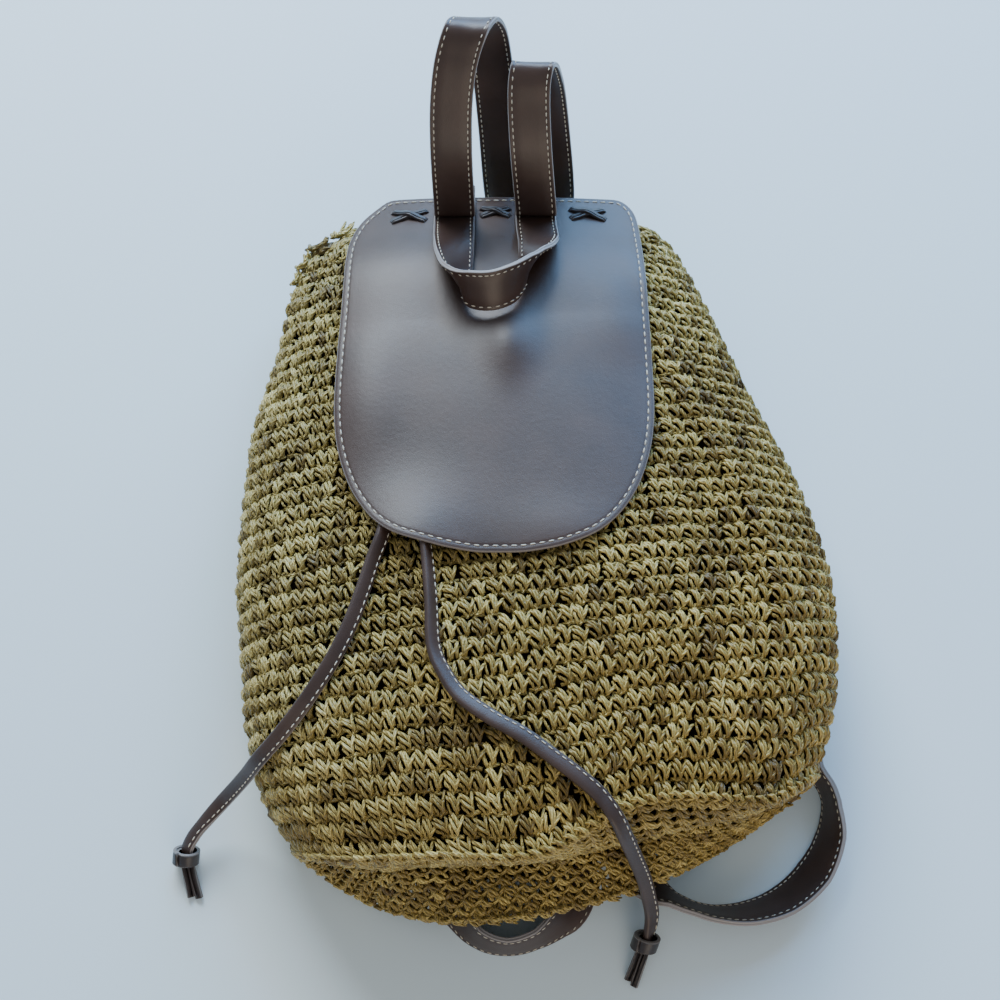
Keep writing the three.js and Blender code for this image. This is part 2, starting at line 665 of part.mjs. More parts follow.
// The knot at the end of a drawstring: a barrel whose hollow top takes the cord's end, and two
// tails, each with its own end on the floor.
const KNOTS = [
  { name: "knot_left", route: DRAWSTRING_LEFT, tails: [[-141.8, -184.3], [-137.4, -183.8]] },
  { name: "knot_right", route: DRAWSTRING_RIGHT, tails: [[55.2, -220.6], [61.4, -222.4]] },
];
const knotTilt = 42; // how far the barrel points up towards the cord, in degrees
const hollowShare = 0.5; // depth of the hollow, as a share of the barrel's height
const FACETS = 14;
function knot({ route, tails }) {
  const end = new THREE.Vector3(...route[route.length - 1]);
  const back = new THREE.Vector3(...route[route.length - 2]).sub(end);
  const axis = direction(THREE.MathUtils.radToDeg(Math.atan2(back.y, back.x)), knotTilt);
  const floorOfHollow = knotHeight * (1 - hollowShare);
  const bottom = end.clone().addScaledVector(axis, -floorOfHollow - 1.3 * clearance);
  const hollow = knotRadius - knotWall;
  const profile = [[0, 0], [0.62 * knotRadius, 0], [0.86 * knotRadius, 0.22 * knotHeight]];
  profile.push([knotRadius, 0.75 * knotHeight], [0.95 * knotRadius, knotHeight], [hollow + 0.3, knotHeight]);
  profile.push([hollow, 0.9 * knotHeight], [hollow, floorOfHollow], [0, floorOfHollow]);
  const barrel = new THREE.LatheGeometry(profile.map(([r, h]) => new THREE.Vector2(r, h)), FACETS);
  barrel.applyQuaternion(new THREE.Quaternion().setFromUnitVectors(new THREE.Vector3(0, 1, 0), axis));
  barrel.translate(...bottom);
  const strips = tails.map(([x, y]) => {
    const tip = new THREE.Vector3(x, y, tailThickness / 2);
    const start = bottom.clone().addScaledVector(axis, tailThickness);
    const across = tip.clone().sub(start).cross(new THREE.Vector3(0, 0, 1)).normalize();
    const half = start.clone().lerp(tip, 0.5).setZ(tailThickness * 0.6);
    return ribbon([start, half, tip].map((place) => ({ at: place, across })), tailWidth, tailThickness);
  });
  return joined([barrel, ...strips]);
}

const backpack = new THREE.Group();
backpack.add(piece("straw_body", strawBody(), straw));
backpack.add(piece("flap", flap(), brown));
for (const lace of LACES) backpack.add(piece(lace.name, lacing(lace), darkBrown));
backpack.add(piece("handle", handle(), brown));
const leftStrap = { seat: SEAT_LEFT, side: -1, loop: leftLoop, rise: LEFT_RISE, ground: LEFT_GROUND };
const rightStrap = { seat: SEAT_RIGHT, side: 1, loop: rightLoop, rise: RIGHT_RISE, ground: RIGHT_GROUND };
backpack.add(piece("shoulder_strap_left", shoulderStrap(leftStrap), brown));
backpack.add(piece("shoulder_strap_right", shoulderStrap(rightStrap), brown));

// The origin lies on the floor under the middle of everything but the drawstrings.
const extent = new THREE.Box3().setFromObject(backpack, true);
const centre = extent.getCenter(new THREE.Vector3());
backpack.add(piece("drawstring_left", drawstring(DRAWSTRING_LEFT), cordBrown));
backpack.add(piece("drawstring_right", drawstring(DRAWSTRING_RIGHT), cordBrown));
for (const end of KNOTS) backpack.add(piece(end.name, knot(end), cordBrown));
backpack.position.set(-centre.x, -centre.y, 0);

export default backpack;
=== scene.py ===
"""A crocheted straw backpack with leather trim, lying on its back with the flap up."""
import math

import bpy
import numpy as np
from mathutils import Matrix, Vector
from mathutils.bvhtree import BVHTree


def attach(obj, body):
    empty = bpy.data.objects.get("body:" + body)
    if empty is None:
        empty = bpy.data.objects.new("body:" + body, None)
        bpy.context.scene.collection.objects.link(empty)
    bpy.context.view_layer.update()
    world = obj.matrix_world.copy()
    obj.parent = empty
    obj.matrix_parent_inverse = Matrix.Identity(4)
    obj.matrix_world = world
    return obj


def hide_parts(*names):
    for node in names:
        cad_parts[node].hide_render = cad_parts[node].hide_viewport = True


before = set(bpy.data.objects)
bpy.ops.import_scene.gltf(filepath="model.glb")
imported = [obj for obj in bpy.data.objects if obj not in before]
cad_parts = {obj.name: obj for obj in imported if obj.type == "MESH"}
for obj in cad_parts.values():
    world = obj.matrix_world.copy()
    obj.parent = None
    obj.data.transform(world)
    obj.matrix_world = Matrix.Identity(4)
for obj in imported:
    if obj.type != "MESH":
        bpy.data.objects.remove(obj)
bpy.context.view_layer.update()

# Sizes in millimetres, in the frame of the CAD source before it is centred.
MM = 0.001
ORIGIN_SHIFT = np.array([-17.3543, -0.5132, 0.0])
BODY_WIDTH = 284.0
BODY_LENGTH = 300.0
BODY_DEPTH = 88.0
RIDGE_HEIGHT = 3.4
PLEAT_DEPTH = 2.6
PLEAT_COUNT = 13
FLAP_WIDTH = 150.0
FLAP_LENGTH = 200.0
FLAP_THICKNESS = 2.2
STRAP_WIDTH = 20.0
STRAP_THICKNESS = 2.4
LEFT_LOOP = 100.0
RIGHT_LOOP = 78.0
HANDLE_REACH = 62.0
CORD_WIDTH = 7.0
CORD_THICKNESS = 3.2
CLEARANCE = 0.35
FOLD_RADIUS = 2.2

# Sections of the straw body from the base border to the mouth rim, as in the CAD source.
SECTION_COLUMNS = (
    "along", "middle", "half", "depth", "lift", "bow", "slant", "wave", "ridge", "pleat", "turn",
)
SECTIONS = (
    (0.0, 0.091, 0.41, 0.8, 0.08, 0.055, 0.074, 1, 0, 0, 8),
    (0.083, 0.079, 0.457, 0.95, 0.012, 0.038, 0.04, 0.7, 0, 0, 8),
    (0.183, 0.07, 0.481, 1.0, 0, 0.02, 0.015, 0.35, 0.2, 0, 7.5),
    (0.3, 0.062, 0.488, 1.0, 0, 0.005, 0, 0, 0.7, 0, 7),
    (0.417, 0.043, 0.482, 0.966, 0, 0, 0, 0, 0.9, 0, 6),
    (0.533, 0.024, 0.46, 0.92, 0, 0, 0, 0, 1, 0, 5),
    (0.65, 0.003, 0.429, 0.875, 0, 0, 0, 0, 1, 0, 4),
    (0.767, -0.003, 0.392, 0.82, 0, 0, 0, 0, 0.9, 0.2, 3),
    (0.873, -0.015, 0.361, 0.72, 0.03, 0, 0, 0, 0.4, 0.6, 2),
    (0.95, -0.017, 0.328, 0.53, 0.1, 0, 0, 0, 0, 1, 1),
    (0.975, -0.003, 0.297, 0.4, 0.17, 0, 0, 0, 0, 1, 0),
    (0.993, 0, 0.272, 0.3, 0.22, 0, 0, 0, 0, 1, 0),
)
WIDEST_AT = 0.33
FULL_LEFT, FULL_RIGHT, FULL_UNDER = 2.3, 2.7, 4.0
RIDGE_FROM, RIDGE_TO, RIDGE_SPREAD = 0.88, 0.6, 0.07
SLANT_SKEW = 0.45
BORDER_WAVES = ((0.36, 0.34, -0.042), (-0.12, 0.25, 0.02), (0.86, 0.16, 0.055))
DENTS = (
    (-0.3, 0.39, 0.1, 0.022, 0.07),
    (-0.2, -0.2, 0.11, 0.12, 0.03),
    (0.22, -0.34, 0.12, 0.07, 0.035),
    (0.36, -0.08, 0.05, 0.12, 0.03),
)
STRAP_ARCHES = ((0.5, -0.4, 0.1, 0.09, 1), (0.27, -0.6, 0.09, 0.09, 1), (0.015, -0.635, 0.2, 0.1, 1.2))
FLAP_COLUMNS = ("along", "left", "right")
FLAP_OUTLINE = (
    (0, -0.375, 0.405),
    (0.03, -0.41, 0.44),
    (0.07, -0.455, 0.455),
    (0.123, -0.486, 0.46),
    (0.18, -0.5, 0.463),
    (0.34, -0.505, 0.468),
    (0.53, -0.512, 0.473),
    (0.66, -0.51, 0.471),
    (0.765, -0.485, 0.448),
    (0.87, -0.424, 0.39),
    (0.948, -0.324, 0.295),
    (0.986, -0.175, 0.175),
    (1, -0.07, 0.07),
)
FLAP_TOP, FLAP_BEND, FLAP_MARGIN_SLOPE = 0.53, 0.145, 0.5
FLAP_WAVES = (
    (0.03, 0.46, 0.07, 0.09, 1.5),
    (-0.42, 0.62, 0.1, 0.2, 0.9),
    (0.4, 0.35, 0.1, 0.15, 0.8),
    (0.2, 0.95, 0.2, 0.07, 0.6),
    (-0.28, 0.98, 0.17, 0.13, 2.15),
)
GROOVE_FROM, GROOVE_TO = -0.235 * BODY_WIDTH, -0.195 * BODY_WIDTH
GROOVE_HEIGHT = STRAP_THICKNESS + 2 * CLEARANCE

# The straps' tables, as in the CAD source.
STRAP_SEAT = 2.5 * CLEARANCE + STRAP_THICKNESS / 2
FOLD_AT, FOOT_END = 0.083, 0.03
SEAT_LEFT, SEAT_RIGHT = -0.148, 0.118
HANDLE_STATIONS = (
    (-0.36, -0.15, 180, 0), (-0.1, -0.15, 180, 0), (0.12, -0.15, 180, 2), (0.32, -0.149, 176, 12),
    (0.56, -0.146, 165, 28), (0.77, -0.135, 140, 46), (0.87, -0.1, 112, 52), (0.9, -0.03, 92, 51),
    (0.84, 0.035, 84, 50), (0.7, 0.085, 62, 44), (0.6, 0.1, 44, 34), (0.5, 0.117, 28, 24),
    (0.4, 0.1225, 17, 15), (0.3, 0.124, 8, 7), (0.1, 0.118, 0, 1), (-0.12, 0.118, 0, 0), (-0.36, 0.118, 0, 0),
)

# The rise in degrees from which a strap stands free of the flap under it.
FREE_RISE = 20

# Rows of the straps past their fold, and where they lie on the floor, as in the CAD source.
LEFT_RISE = (
    (-0.01, 0.157, 0.325),
    (-0.004, 0.309, 0.515),
    (0.022, 0.432, 0.65),
    (0.067, 0.535, 0.73),
    (0.11, 0.615, 0.69),
    (0.15, 0.65, 0.57),
    (0.18, 0.625, 0.36),
    (0.21, 0.52, -0.025),
    (0.235, 0.38, -0.405),
)
LEFT_GROUND = (
    (0.049, 0.56, 180, 0),
    (0.052, 0.47, 180, 0),
    (0.08, 0.1, 176, 0),
    (0.11, -0.2, 176, 0),
    (0.146, -0.5, 176, 0),
    (0.158, -0.585, 180, 8),
    (0.14, -0.63, 160, 32),
    (0.105, -0.658, 125, 56),
    (0.06, -0.677, 100, 72),
    (0.01, -0.686, 88, 76),
    (-0.04, -0.675, 70, 70),
    (-0.085, -0.642, 45, 44),
    (-0.118, -0.6, 30, 14),
    (-0.15, -0.555, 30, 0),
    (-0.175, -0.5, 25, 0),
)
RIGHT_RISE = (
    (-0.038, 0.209, 0.39),
    (-0.053, 0.405, 0.595),
    (-0.049, 0.505, 0.69),
    (-0.033, 0.575, 0.72),
    (-0.005, 0.635, 0.64),
    (0.029, 0.68, 0.45),
    (0.055, 0.69, 0.27),
    (0.096, 0.64, -0.096),
    (0.142, 0.465, -0.55),
)
RIGHT_GROUND = (
    (0.067, 0.56, 0, 0),
    (0.07, 0.47, 6, 0),
    (0.13, 0.2, 20, 0),
    (0.235, -0.05, 22, 0),
    (0.345, -0.2, 20, 0),
    (0.4, -0.27, 16, 0),
    (0.435, -0.315, 10, 12),
    (0.468, -0.355, 0, 38),
    (0.493, -0.386, -15, 62),
    (0.513, -0.411, -25, 76),
    (0.529, -0.434, -20, 80),
    (0.535, -0.453, -14, 80),
    (0.534, -0.471, -12, 76),
    (0.522, -0.504, -27, 58),
    (0.49, -0.55, -42, 42),
    (0.445, -0.589, -58, 46),
    (0.395, -0.61, -75, 56),
    (0.349, -0.616, -90, 66),
    (0.317, -0.611, -106, 70),
    (0.284, -0.596, -118, 66),
    (0.262, -0.573, -128, 44),
    (0.246, -0.545, -136, 20),
    (0.232, -0.515, -140, 0),
    (0.21, -0.465, -140, 0),
)

# The drawstrings from under the flap to their knots, in millimetres, as in the CAD source.
DRAWSTRING_LEFT = (
    (-49.8, -22, 82),
    (-51.4, -27.5, 82.2),
    (-52.9, -33, 82.5),
    (-56.1, -41.4, 81.6),
    (-60.2, -55.1, 81),
    (-65.6, -70.8, 80.3),
    (-72.8, -86.3, 78.9),
    (-84, -103.4, 74.5),
    (-95.5, -116.7, 66.8),
    (-106.7, -126.3, 55),
    (-113.6, -131, 42),
    (-120.4, -135, 30),
    (-127.4, -139.8, 20.5),
    (-134.5, -146.4, 15),
    (-141.3, -154.4, 12),
    (-143.9, -159, 9.8),
    (-144.6, -162.2, 7),
)
DRAWSTRING_RIGHT = (
    (-34.6, -29, 85.4),
    (-33.3, -34, 85.9),
    (-32.4, -39.5, 86.2),
    (-30.2, -60.9, 87.3),
    (-28.4, -84.5, 88.2),
    (-24.4, -94, 89),
    (-17.8, -103.9, 89.5),
    (-5.2, -113.5, 89.8),
    (9.8, -122, 89.4),
    (22.1, -130.8, 88.4),
    (32.4, -138.3, 86.5),
    (42.2, -146.5, 83.6),
    (48.8, -155.3, 81),
    (53.6, -163, 71.8),
    (58.9, -169.8, 54.4),
    (63.6, -176.6, 38),
    (66.8, -184, 25),
    (68.4, -190.2, 17),
    (67.6, -197.4, 11.5),
    (66.4, -200.8, 8),
)

# Where the two plies of each knotted end lie, in plan.
KNOT_TAILS = {
    "left": ((-141.8, -184.3), (-137.4, -183.8)),
    "right": ((55.2, -220.6), (61.4, -222.4)),
}

# Lacings: name, place on the flap across and along, and width of the cross.
LACES = (
    ("lacing_left", -0.3, 0.07, 18.4),
    ("lacing_centre", -0.015, 0.062, 15.5),
    ("lacing_right", 0.29, 0.065, 18.4),
)
LACE_WIDTH, LACE_THICKNESS, LACE_SLOPE = 3.5, 1.1, 0.48

# Each thong's turn across the other and how high it goes over the crossing.
LACE_CROSSINGS = ((1, 0.75), (-1, 1.75))

# The wound knots: size, tilt from the floor, and the coil's start and turn in degrees.
KNOT_RADIUS, KNOT_HEIGHT, KNOT_TILT = 6.6, 7.5, 42.0
KNOT_START, KNOT_TURN, COIL_STEPS = 120.0, 470.0, 64

# The knot's core under its coil: heights and radii of its rings.
KNOT_CORE = ((0.2, 0.8), (0.5, 3.3), (1.6, 3.9), (3.2, 3.9), (3.6, 3.2))

# What keeps the drawstrings' faces up where they leave the bag.
CORD_UPRIGHT, CORD_CALM_ROUNDS = 0.35 * np.array([0, -0.3, 1.0]), 24
BASE_BULGE = 5.0

# The camera stands over the foot of the bag and looks down on it, as in the photograph.
CAMERA_TARGET = np.array([0.0, 0.0, 40.0])
CAMERA_HEIGHT_ANGLE, CAMERA_DISTANCE, CAMERA_LENS = 71.0, 780.0, 59.1
FLOOR_HALF = 1.6
ROOM_STRENGTH = 0.42
LIGHT_TARGET = (0, 0, 0.05)

# Lights in metres and watts: name, place, size, power, colour.
LIGHTS = (
    ("window", (-0.5, 1.5, 1.15), 1.0, 44.0, (0.82, 0.92, 1.0)),
    ("sky", (0.65, 2.0, 1.0), 2.0, 92.0, (0.26, 0.55, 1.0)),
    ("room_fill", (0.3, -1.5, 0.6), 1.0, 7.5, (1.0, 0.84, 0.66)),
)

# Twisted fibres in a strand of straw, and points round the near-black shell of painted shade under the
# stitches.
FIBRES = 3
SHELL_SIDES = 120

# Where the shell of painted shade leaves the wall for the open mouth, and how far it is then drawn in.
NARROW_FROM, NARROW_RUN = 0.7, 0.1
MOUTH_INSET = 1.4

# A crochet stitch in millimetres: strands of (x to the right, y to the mouth, z outward, radius).
STITCH_WIDTH, STITCH_RISE = 7.9, 8.4
LEANING_STRANDS = (
    ((-4.4, 3.2, -2.2, 0.6), (-3.0, 2.5, -0.6, 1.0), (-1.1, 0.8, 0.35, 1.1), (0.5, -1.4, 0.2, 1.0),
     (1.5, -3.4, -1.1, 0.7)),
    ((-3.0, 4.4, -2.4, 0.5), (-1.2, 3.5, -0.9, 0.95), (0.8, 1.9, -0.2, 1.05), (2.2, -0.3, -0.3, 0.95),
     (2.9, -2.4, -1.4, 0.6)),
    ((4.6, 3.4, -2.2, 0.6), (3.9, 1.9, -0.7, 1.0), (2.9, -0.2, -0.1, 1.05), (1.6, -2.4, -0.6, 0.95),
     (0.6, -4.0, -1.8, 0.6)),
)
STITCH_STRANDS = LEANING_STRANDS + (
    ((-4.2, 1.4, -2.0, 0.6), (-3.4, -0.4, -0.9, 0.95), (-2.2, -2.4, -0.6, 0.95), (-1.4, -4.6, -1.9, 0.6)),
    ((0.4, -2.6, -1.5, 0.8), (0.3, -4.1, -1.3, 0.85), (-0.4, -5.6, -2.2, 0.6)),
    ((-4.2, -3.7, -2.2, 0.85), (0.0, -4.2, -2.0, 0.95), (4.2, -3.7, -2.2, 0.85)),
)
CHAIN_STRANDS = (
    ((-3.9, 1.5, -1.0, 0.6), (-1.6, 1.9, 0.3, 1.15), (1.6, 1.2, 0.5, 1.2), (4.0, 0.1, -0.5, 0.7)),
    ((-3.7, -1.3, -1.2, 0.6), (-1.2, -1.7, 0.0, 1.0), (1.8, -1.1, 0.2, 1.1), (4.2, -0.2, -0.7, 0.6)),
)
STITCH_SPREAD = 0.42

# Rows of stitches up the bag, stitches in a row, and how far they go on under the flap.
ROWS, COLUMNS = 38, 100
FIRST_ROW, LAST_ROW = 0.012, 0.982
FLAP_COVER = 12.0
ROUND_STEPS, ROUND_REACH, ROW_REACH = 2880, 2.5, 0.004
KINDS = 6
SEED = 11
STITCH_SUNK = 0.5

# Rounds of the base: the line that they start from, their width, and the first one's place.
BASE_LINE_SHARE, BASE_ROUND, BASE_FIRST_SHARE, BASE_KINDS = 0.66, 8.0, 0.3, 4
CHAIN_COUNT, CHAIN_PROUD = 104, -0.2

# Sewn seams in millimetres.
SEAM_INSET, SEAM_END, STITCH_PITCH, STITCH_LENGTH = 2.0, 6.0, 3.2, 2.3
THREAD_ABOVE_FLOOR = 0.35
FLAP_SEAM_INSET, FLAP_STITCH_PITCH, FLAP_STITCH_LENGTH = 2.8, 4.1, 3.0

# The flap's rounded rim and sewn groove: how far in from its border, and how far under its face.
FLAP_EDGE = ((0.0, 0.6), (0.09, 0.3), (0.28, 0.09), (0.6, 0.0), (1.4, 0.0), (2.1, 0.03),
             (FLAP_SEAM_INSET, 0.24), (3.5, 0.03), (4.2, 0.0), (6.0, 0.0))
CORD_STITCH_PITCH, CORD_STITCH_LENGTH, CORD_LEAN = 3.6, 2.7, 16.0


def bump(distance, reach):
    return np.exp(-((distance / reach) ** 2))


def row_at(table, columns, along):
    """Value of each column at a place along a table, through its rows as a smooth curve."""
    i = 0
    while i < len(table) - 2 and table[i + 1][0] < along:
        i += 1
    span = table[i + 1][0] - table[i][0]
    t = min(max((along - table[i][0]) / span, 0.0), 1.0)

    def slope(k, column):
        before, after = table[max(k - 1, 0)], table[min(k + 1, len(table) - 1)]
        return (after[column] - before[column]) / (after[0] - before[0])

    row = {}
    for column, name in enumerate(columns):
        a, b = table[i][column], table[i + 1][column]
        m, n = slope(i, column) * span, slope(i + 1, column) * span
        row[name] = (a * (1 + 2 * t) * (1 - t) ** 2 + m * t * (1 - t) ** 2
                     + b * t * t * (3 - 2 * t) + n * t * t * (t - 1))
    return row


def section_at(along):
    row = row_at(SECTIONS, SECTION_COLUMNS, along)
    return {
        "along": along,
        "y": (along - 0.5) * BODY_LENGTH,
        "x": row["middle"] * BODY_WIDTH,
        "half": row["half"] * BODY_WIDTH,
        "depth": row["depth"] * BODY_DEPTH,
        "lift": max(row["lift"], 0) * BODY_DEPTH,
        "bow": row["bow"] * BODY_LENGTH,
        "slant": max(row["slant"], 0) * BODY_LENGTH,
        "wave": max(row["wave"], 0) * BODY_LENGTH,
        "ridge": max(row["ridge"], 0) * RIDGE_HEIGHT,
        "pleat": max(row["pleat"], 0) * PLEAT_DEPTH,
        "turn": math.radians(row["turn"]),
    }


def front_profile(section, u):
    n = np.where(u > 0, FULL_RIGHT, FULL_LEFT)
    arch = np.maximum(1 - np.minimum(np.abs(u), 1) ** n, 0) ** (1 / n)
    ridge_at = RIDGE_FROM + (RIDGE_TO - RIDGE_FROM) * section["along"]
    ridge = section["ridge"] * bump(u - ridge_at, RIDGE_SPREAD)
    return section["depth"] * (WIDEST_AT + (1 - WIDEST_AT) * arch) + ridge


def mound(x, y, at):
    """A round rise of 1 over a place in plan, given in shares of the bag's width and length."""
    middle_x, middle_y, reach_x, reach_y = at
    return bump(x / BODY_WIDTH - middle_x, reach_x) * bump(y / BODY_LENGTH - middle_y, reach_y)


def dent_at(x, y):
    depth = 0
    for *at, share in DENTS:
        depth = depth + share * BODY_DEPTH * mound(x, y, at)
    return depth


def in_plan(section, u, height):
    lean = (1 - np.abs(u) ** 2.8) * section["slant"] * (1 - SLANT_SKEW * u) * (1 - height)
    out = (1 - u * u) * section["bow"] + lean
    for at, reach, push in BORDER_WAVES:
        out = out + push * section["wave"] * bump(u - at, reach) * (1 - u * u) * height**2
    cos, sin = math.cos(section["turn"]), math.sin(section["turn"])
    across = u * section["half"]
    return section["x"] + across * cos + out * sin, section["y"] + across * sin - out * cos


def underside(x, y, calm):
    t = np.clip((x - GROOVE_FROM) / (GROOVE_TO - GROOVE_FROM), 0, 1)
    height = GROOVE_HEIGHT * t * t * (3 - 2 * t)
    if calm:
        return height
    for *at, share in STRAP_ARCHES:
        height = height + share * STRAP_WIDTH * mound(x, y, at)
    return height


def skin(along, theta, calm=False):
    """Points of the body's outer surface at one place along it, for an array of angles round it."""
    section = section_at(along)
    if calm:
        section["wave"] = 0
    c, s = np.cos(theta), np.sin(theta)
    n = np.where(s < 0, FULL_UNDER, np.where(c > 0, FULL_RIGHT, FULL_LEFT))
    gathers = 1 - np.cos(PLEAT_COUNT * theta)
    u = np.sign(c) * np.abs(c) ** (2 / n) * (1 - section["pleat"] / section["half"] * gathers)
    low = section["depth"] * WIDEST_AT * (1 - np.abs(s) ** (2 / n)) - section["pleat"] * gathers * s
    high = front_profile(section, u) - section["pleat"] * gathers * s
    z = np.where(s < 0, low, high)
    x, y = in_plan(section, u, z / section["depth"])
    z = z + section["lift"] - np.maximum(s, 0) * dent_at(x, y)
    return np.stack([x, y, np.maximum(z, underside(x, y, calm))], axis=-1)


def front_height(x, y):
    """Height of the front, without gathers and dents, over a place in plan."""
    low, high = 0.0, SECTIONS[-1][0]
    for _ in range(26):
        section = section_at((low + high) / 2)
        cos, sin = math.cos(section["turn"]), math.sin(section["turn"])
        dx, dy = x - section["x"], y - section["y"]
        u = min(max((dx * cos + dy * sin) / section["half"], -1), 1)
        if dy * cos - dx * sin + section["bow"] * (1 - u * u) > 0:
            low = section["along"]
        else:
            high = section["along"]
    section = section_at((low + high) / 2)
    turn = section["turn"]
    u = ((x - section["x"]) * math.cos(turn) + (y - section["y"]) * math.sin(turn)) / section["half"]
    return section["lift"] + float(front_profile(section, u))


def flap_plan(x, along):
    return x * FLAP_WIDTH, FLAP_TOP * BODY_LENGTH - along * FLAP_LENGTH


def flap_under(x, along):
    bend = max(along, FLAP_BEND)
    z = front_height(*flap_plan(x * 0.92, bend)) + 2 * CLEARANCE
    for wx, wa, reach_x, reach_along, lift in FLAP_WAVES:
        z += lift * FLAP_THICKNESS * float(bump(x - wx, reach_x) * bump(bend - wa, reach_along))
    return z - max(FLAP_BEND - along, 0) * FLAP_LENGTH * FLAP_MARGIN_SLOPE


def on_flap(x, along, over):
    px, py = flap_plan(x, along)
    return np.array([px, py, flap_under(x, along) + FLAP_THICKNESS + over])


def direction(heading, rise):
    a, b = math.radians(heading), math.radians(rise)
    return np.array([math.cos(a) * math.cos(b), math.sin(a) * math.cos(b), math.sin(b)])


def unit(v):
    return v / (np.linalg.norm(v) + 1e-12)


def run_lengths(points):
    """Distance along a line of points from its start to each of them."""
    return np.concatenate([[0], np.cumsum(np.linalg.norm(np.diff(points, axis=0), axis=1))])


def points_along(places, lengths, points):
    """Points of a line at distances along it."""
    return np.stack([np.interp(places, lengths, column) for column in np.transpose(points)], axis=1)


def spline_point(points, i, t):
    """A point and its forward direction on the centripetal curve through points, in span i."""
    p1, p2 = points[i], points[i + 1]
    p0 = points[i - 1] if i > 0 else 2 * p1 - p2
    p3 = points[i + 2] if i + 2 < len(points) else 2 * p2 - p1
    d0, d1, d2 = (math.sqrt(max(np.linalg.norm(b - a), 1e-9)) for a, b in ((p0, p1), (p1, p2), (p2, p3)))
    m1 = ((p1 - p0) / d0 - (p2 - p0) / (d0 + d1) + (p2 - p1) / d1) * d1
    m2 = ((p2 - p1) / d1 - (p3 - p1) / (d1 + d2) + (p3 - p2) / d2) * d1
    c2, c3 = -3 * p1 + 3 * p2 - 2 * m1 - m2, 2 * p1 - 2 * p2 + m1 + m2
    return p1 + m1 * t + c2 * t * t + c3 * t**3, unit(m1 + 2 * c2 * t + 3 * c3 * t * t)


def ribbon_frames(stations, step):
    """Middles, across and up directions along a strap through stations of (middle, across)."""
    points = [s[0] for s in stations]
    frames = []
    for i in range(len(stations) - 1):
        parts = max(1, round(np.linalg.norm(points[i + 1] - points[i]) / step))
        for k in range(parts + (i == len(stations) - 2)):
            at, forward = spline_point(points, i, k / parts)
            across = stations[i][1] * (1 - k / parts) + stations[i + 1][1] * k / parts
            across = unit(across - forward * across.dot(forward))
            frames.append((at, across, unit(np.cross(across, forward))))
    return frames


def on_flap_across(x, along, heading, rise):
    """Middle and across direction of a strap seated by its whole width on the flap."""
    plan = direction(heading, 0) * STRAP_WIDTH / 2
    seat = STRAP_SEAT + 2 * CLEARANCE * max(rise, 0) / FREE_RISE

    def over(share):
        return on_flap(x + share * plan[0] / FLAP_WIDTH, along - share * plan[1] / FLAP_LENGTH, seat)

    lean = math.degrees(math.atan2(over(1)[2] - over(-1)[2], STRAP_WIDTH))
    across = direction(heading, rise + lean * max(0, 1 - rise / FREE_RISE))
    flat, half = math.hypot(across[0], across[1]), across[2] * STRAP_WIDTH / 2
    at = over(0)
    at[2] = max(over(t * flat)[2] - t * half for t in (-1, -0.7, -0.4, 0, 0.4, 1))
    return at, across


def handle_stations():
    return [on_flap_across(x, FOLD_AT + reach * HANDLE_REACH / FLAP_LENGTH, heading, rise)
            for reach, x, heading, rise in HANDLE_STATIONS]


def foot_and_fold(seat, side):
    """The foot of a shoulder strap on the handle's leg, and its sharp fold back over itself."""
    across = on_flap_across(seat, (FOOT_END + FOLD_AT) / 2, 180 if side < 0 else 0, 0)[1]
    over = STRAP_SEAT + STRAP_THICKNESS + 2.5 * CLEARANCE
    end, start = on_flap(seat, FOOT_END, over), on_flap(seat, FOLD_AT, over)
    forward = unit(start - end)
    up = -np.cross(np.array([1.0, 0, 0]), forward)
    up = -up if up[2] < 0 else up
    centre = start + up * FOLD_RADIUS
    stations = [(end, across), ((end + start) / 2, across)]
    for degrees in (0, 25, 50, 75, 100):
        a = math.radians(degrees)
        out = forward * math.sin(a) - up * math.cos(a)
        stations.append((centre + out * FOLD_RADIUS, across))
    return stations


def shoulder_strap_stations(seat, side, loop, rise, ground):
    across = np.array([float(side), 0, 0])
    stations = foot_and_fold(seat, side)
    fold = stations[-1][0]
    stations += [(fold + np.array(row) * loop, across) for row in rise]
    for x, y, heading, lifted in ground:
        upper = direction(heading, lifted)
        at = np.array([x * BODY_WIDTH, y * BODY_LENGTH, STRAP_THICKNESS / 2 * math.cos(math.radians(lifted))])
        stations.append((at + upper * STRAP_WIDTH / 2, upper))
    return stations


def to_row(points):
    """Points in millimetres of the CAD source, in metres of the row frame."""
    return (np.asarray(points, float) + ORIGIN_SHIFT) * MM


def mesh_object(name, points, faces, material=None):
    mesh = bpy.data.meshes.new(name)
    mesh.from_pydata([tuple(p) for p in to_row(points)], [], [tuple(int(i) for i in f) for f in faces])
    mesh.polygons.foreach_set("use_smooth", [True] * len(mesh.polygons))
    if material:
        mesh.materials.append(material)
    mesh.update()
    made = bpy.data.objects.new(name, mesh)
    bpy.context.scene.collection.objects.link(made)
    return made


def point_values(made, name, values):
    """A number for each point of a mesh, kept with it for its material."""
    made.data.attributes.new(name, "FLOAT", "POINT").data.foreach_set("value", np.asarray(values, float))


def closed_rings(rings, start=None, end=None):
    """Points and outward faces of a closed body from rings that each go round once."""
    count = len(rings[0])
    start = np.mean(rings[0], axis=0) if start is None else start
    end = np.mean(rings[-1], axis=0) if end is None else end
    points = np.concatenate([[start], *rings, [end]])
    last = len(points) - 1
    faces = []
    for k in range(count):
        n = (k + 1) % count
        faces.append((0, 1 + n, 1 + k))
        faces.append((last, last - count + k, last - count + n))
        for r in range(len(rings) - 1):
            a = 1 + r * count
            faces.append((a + k, a + n, a + count + n, a + count + k))
    return points, faces


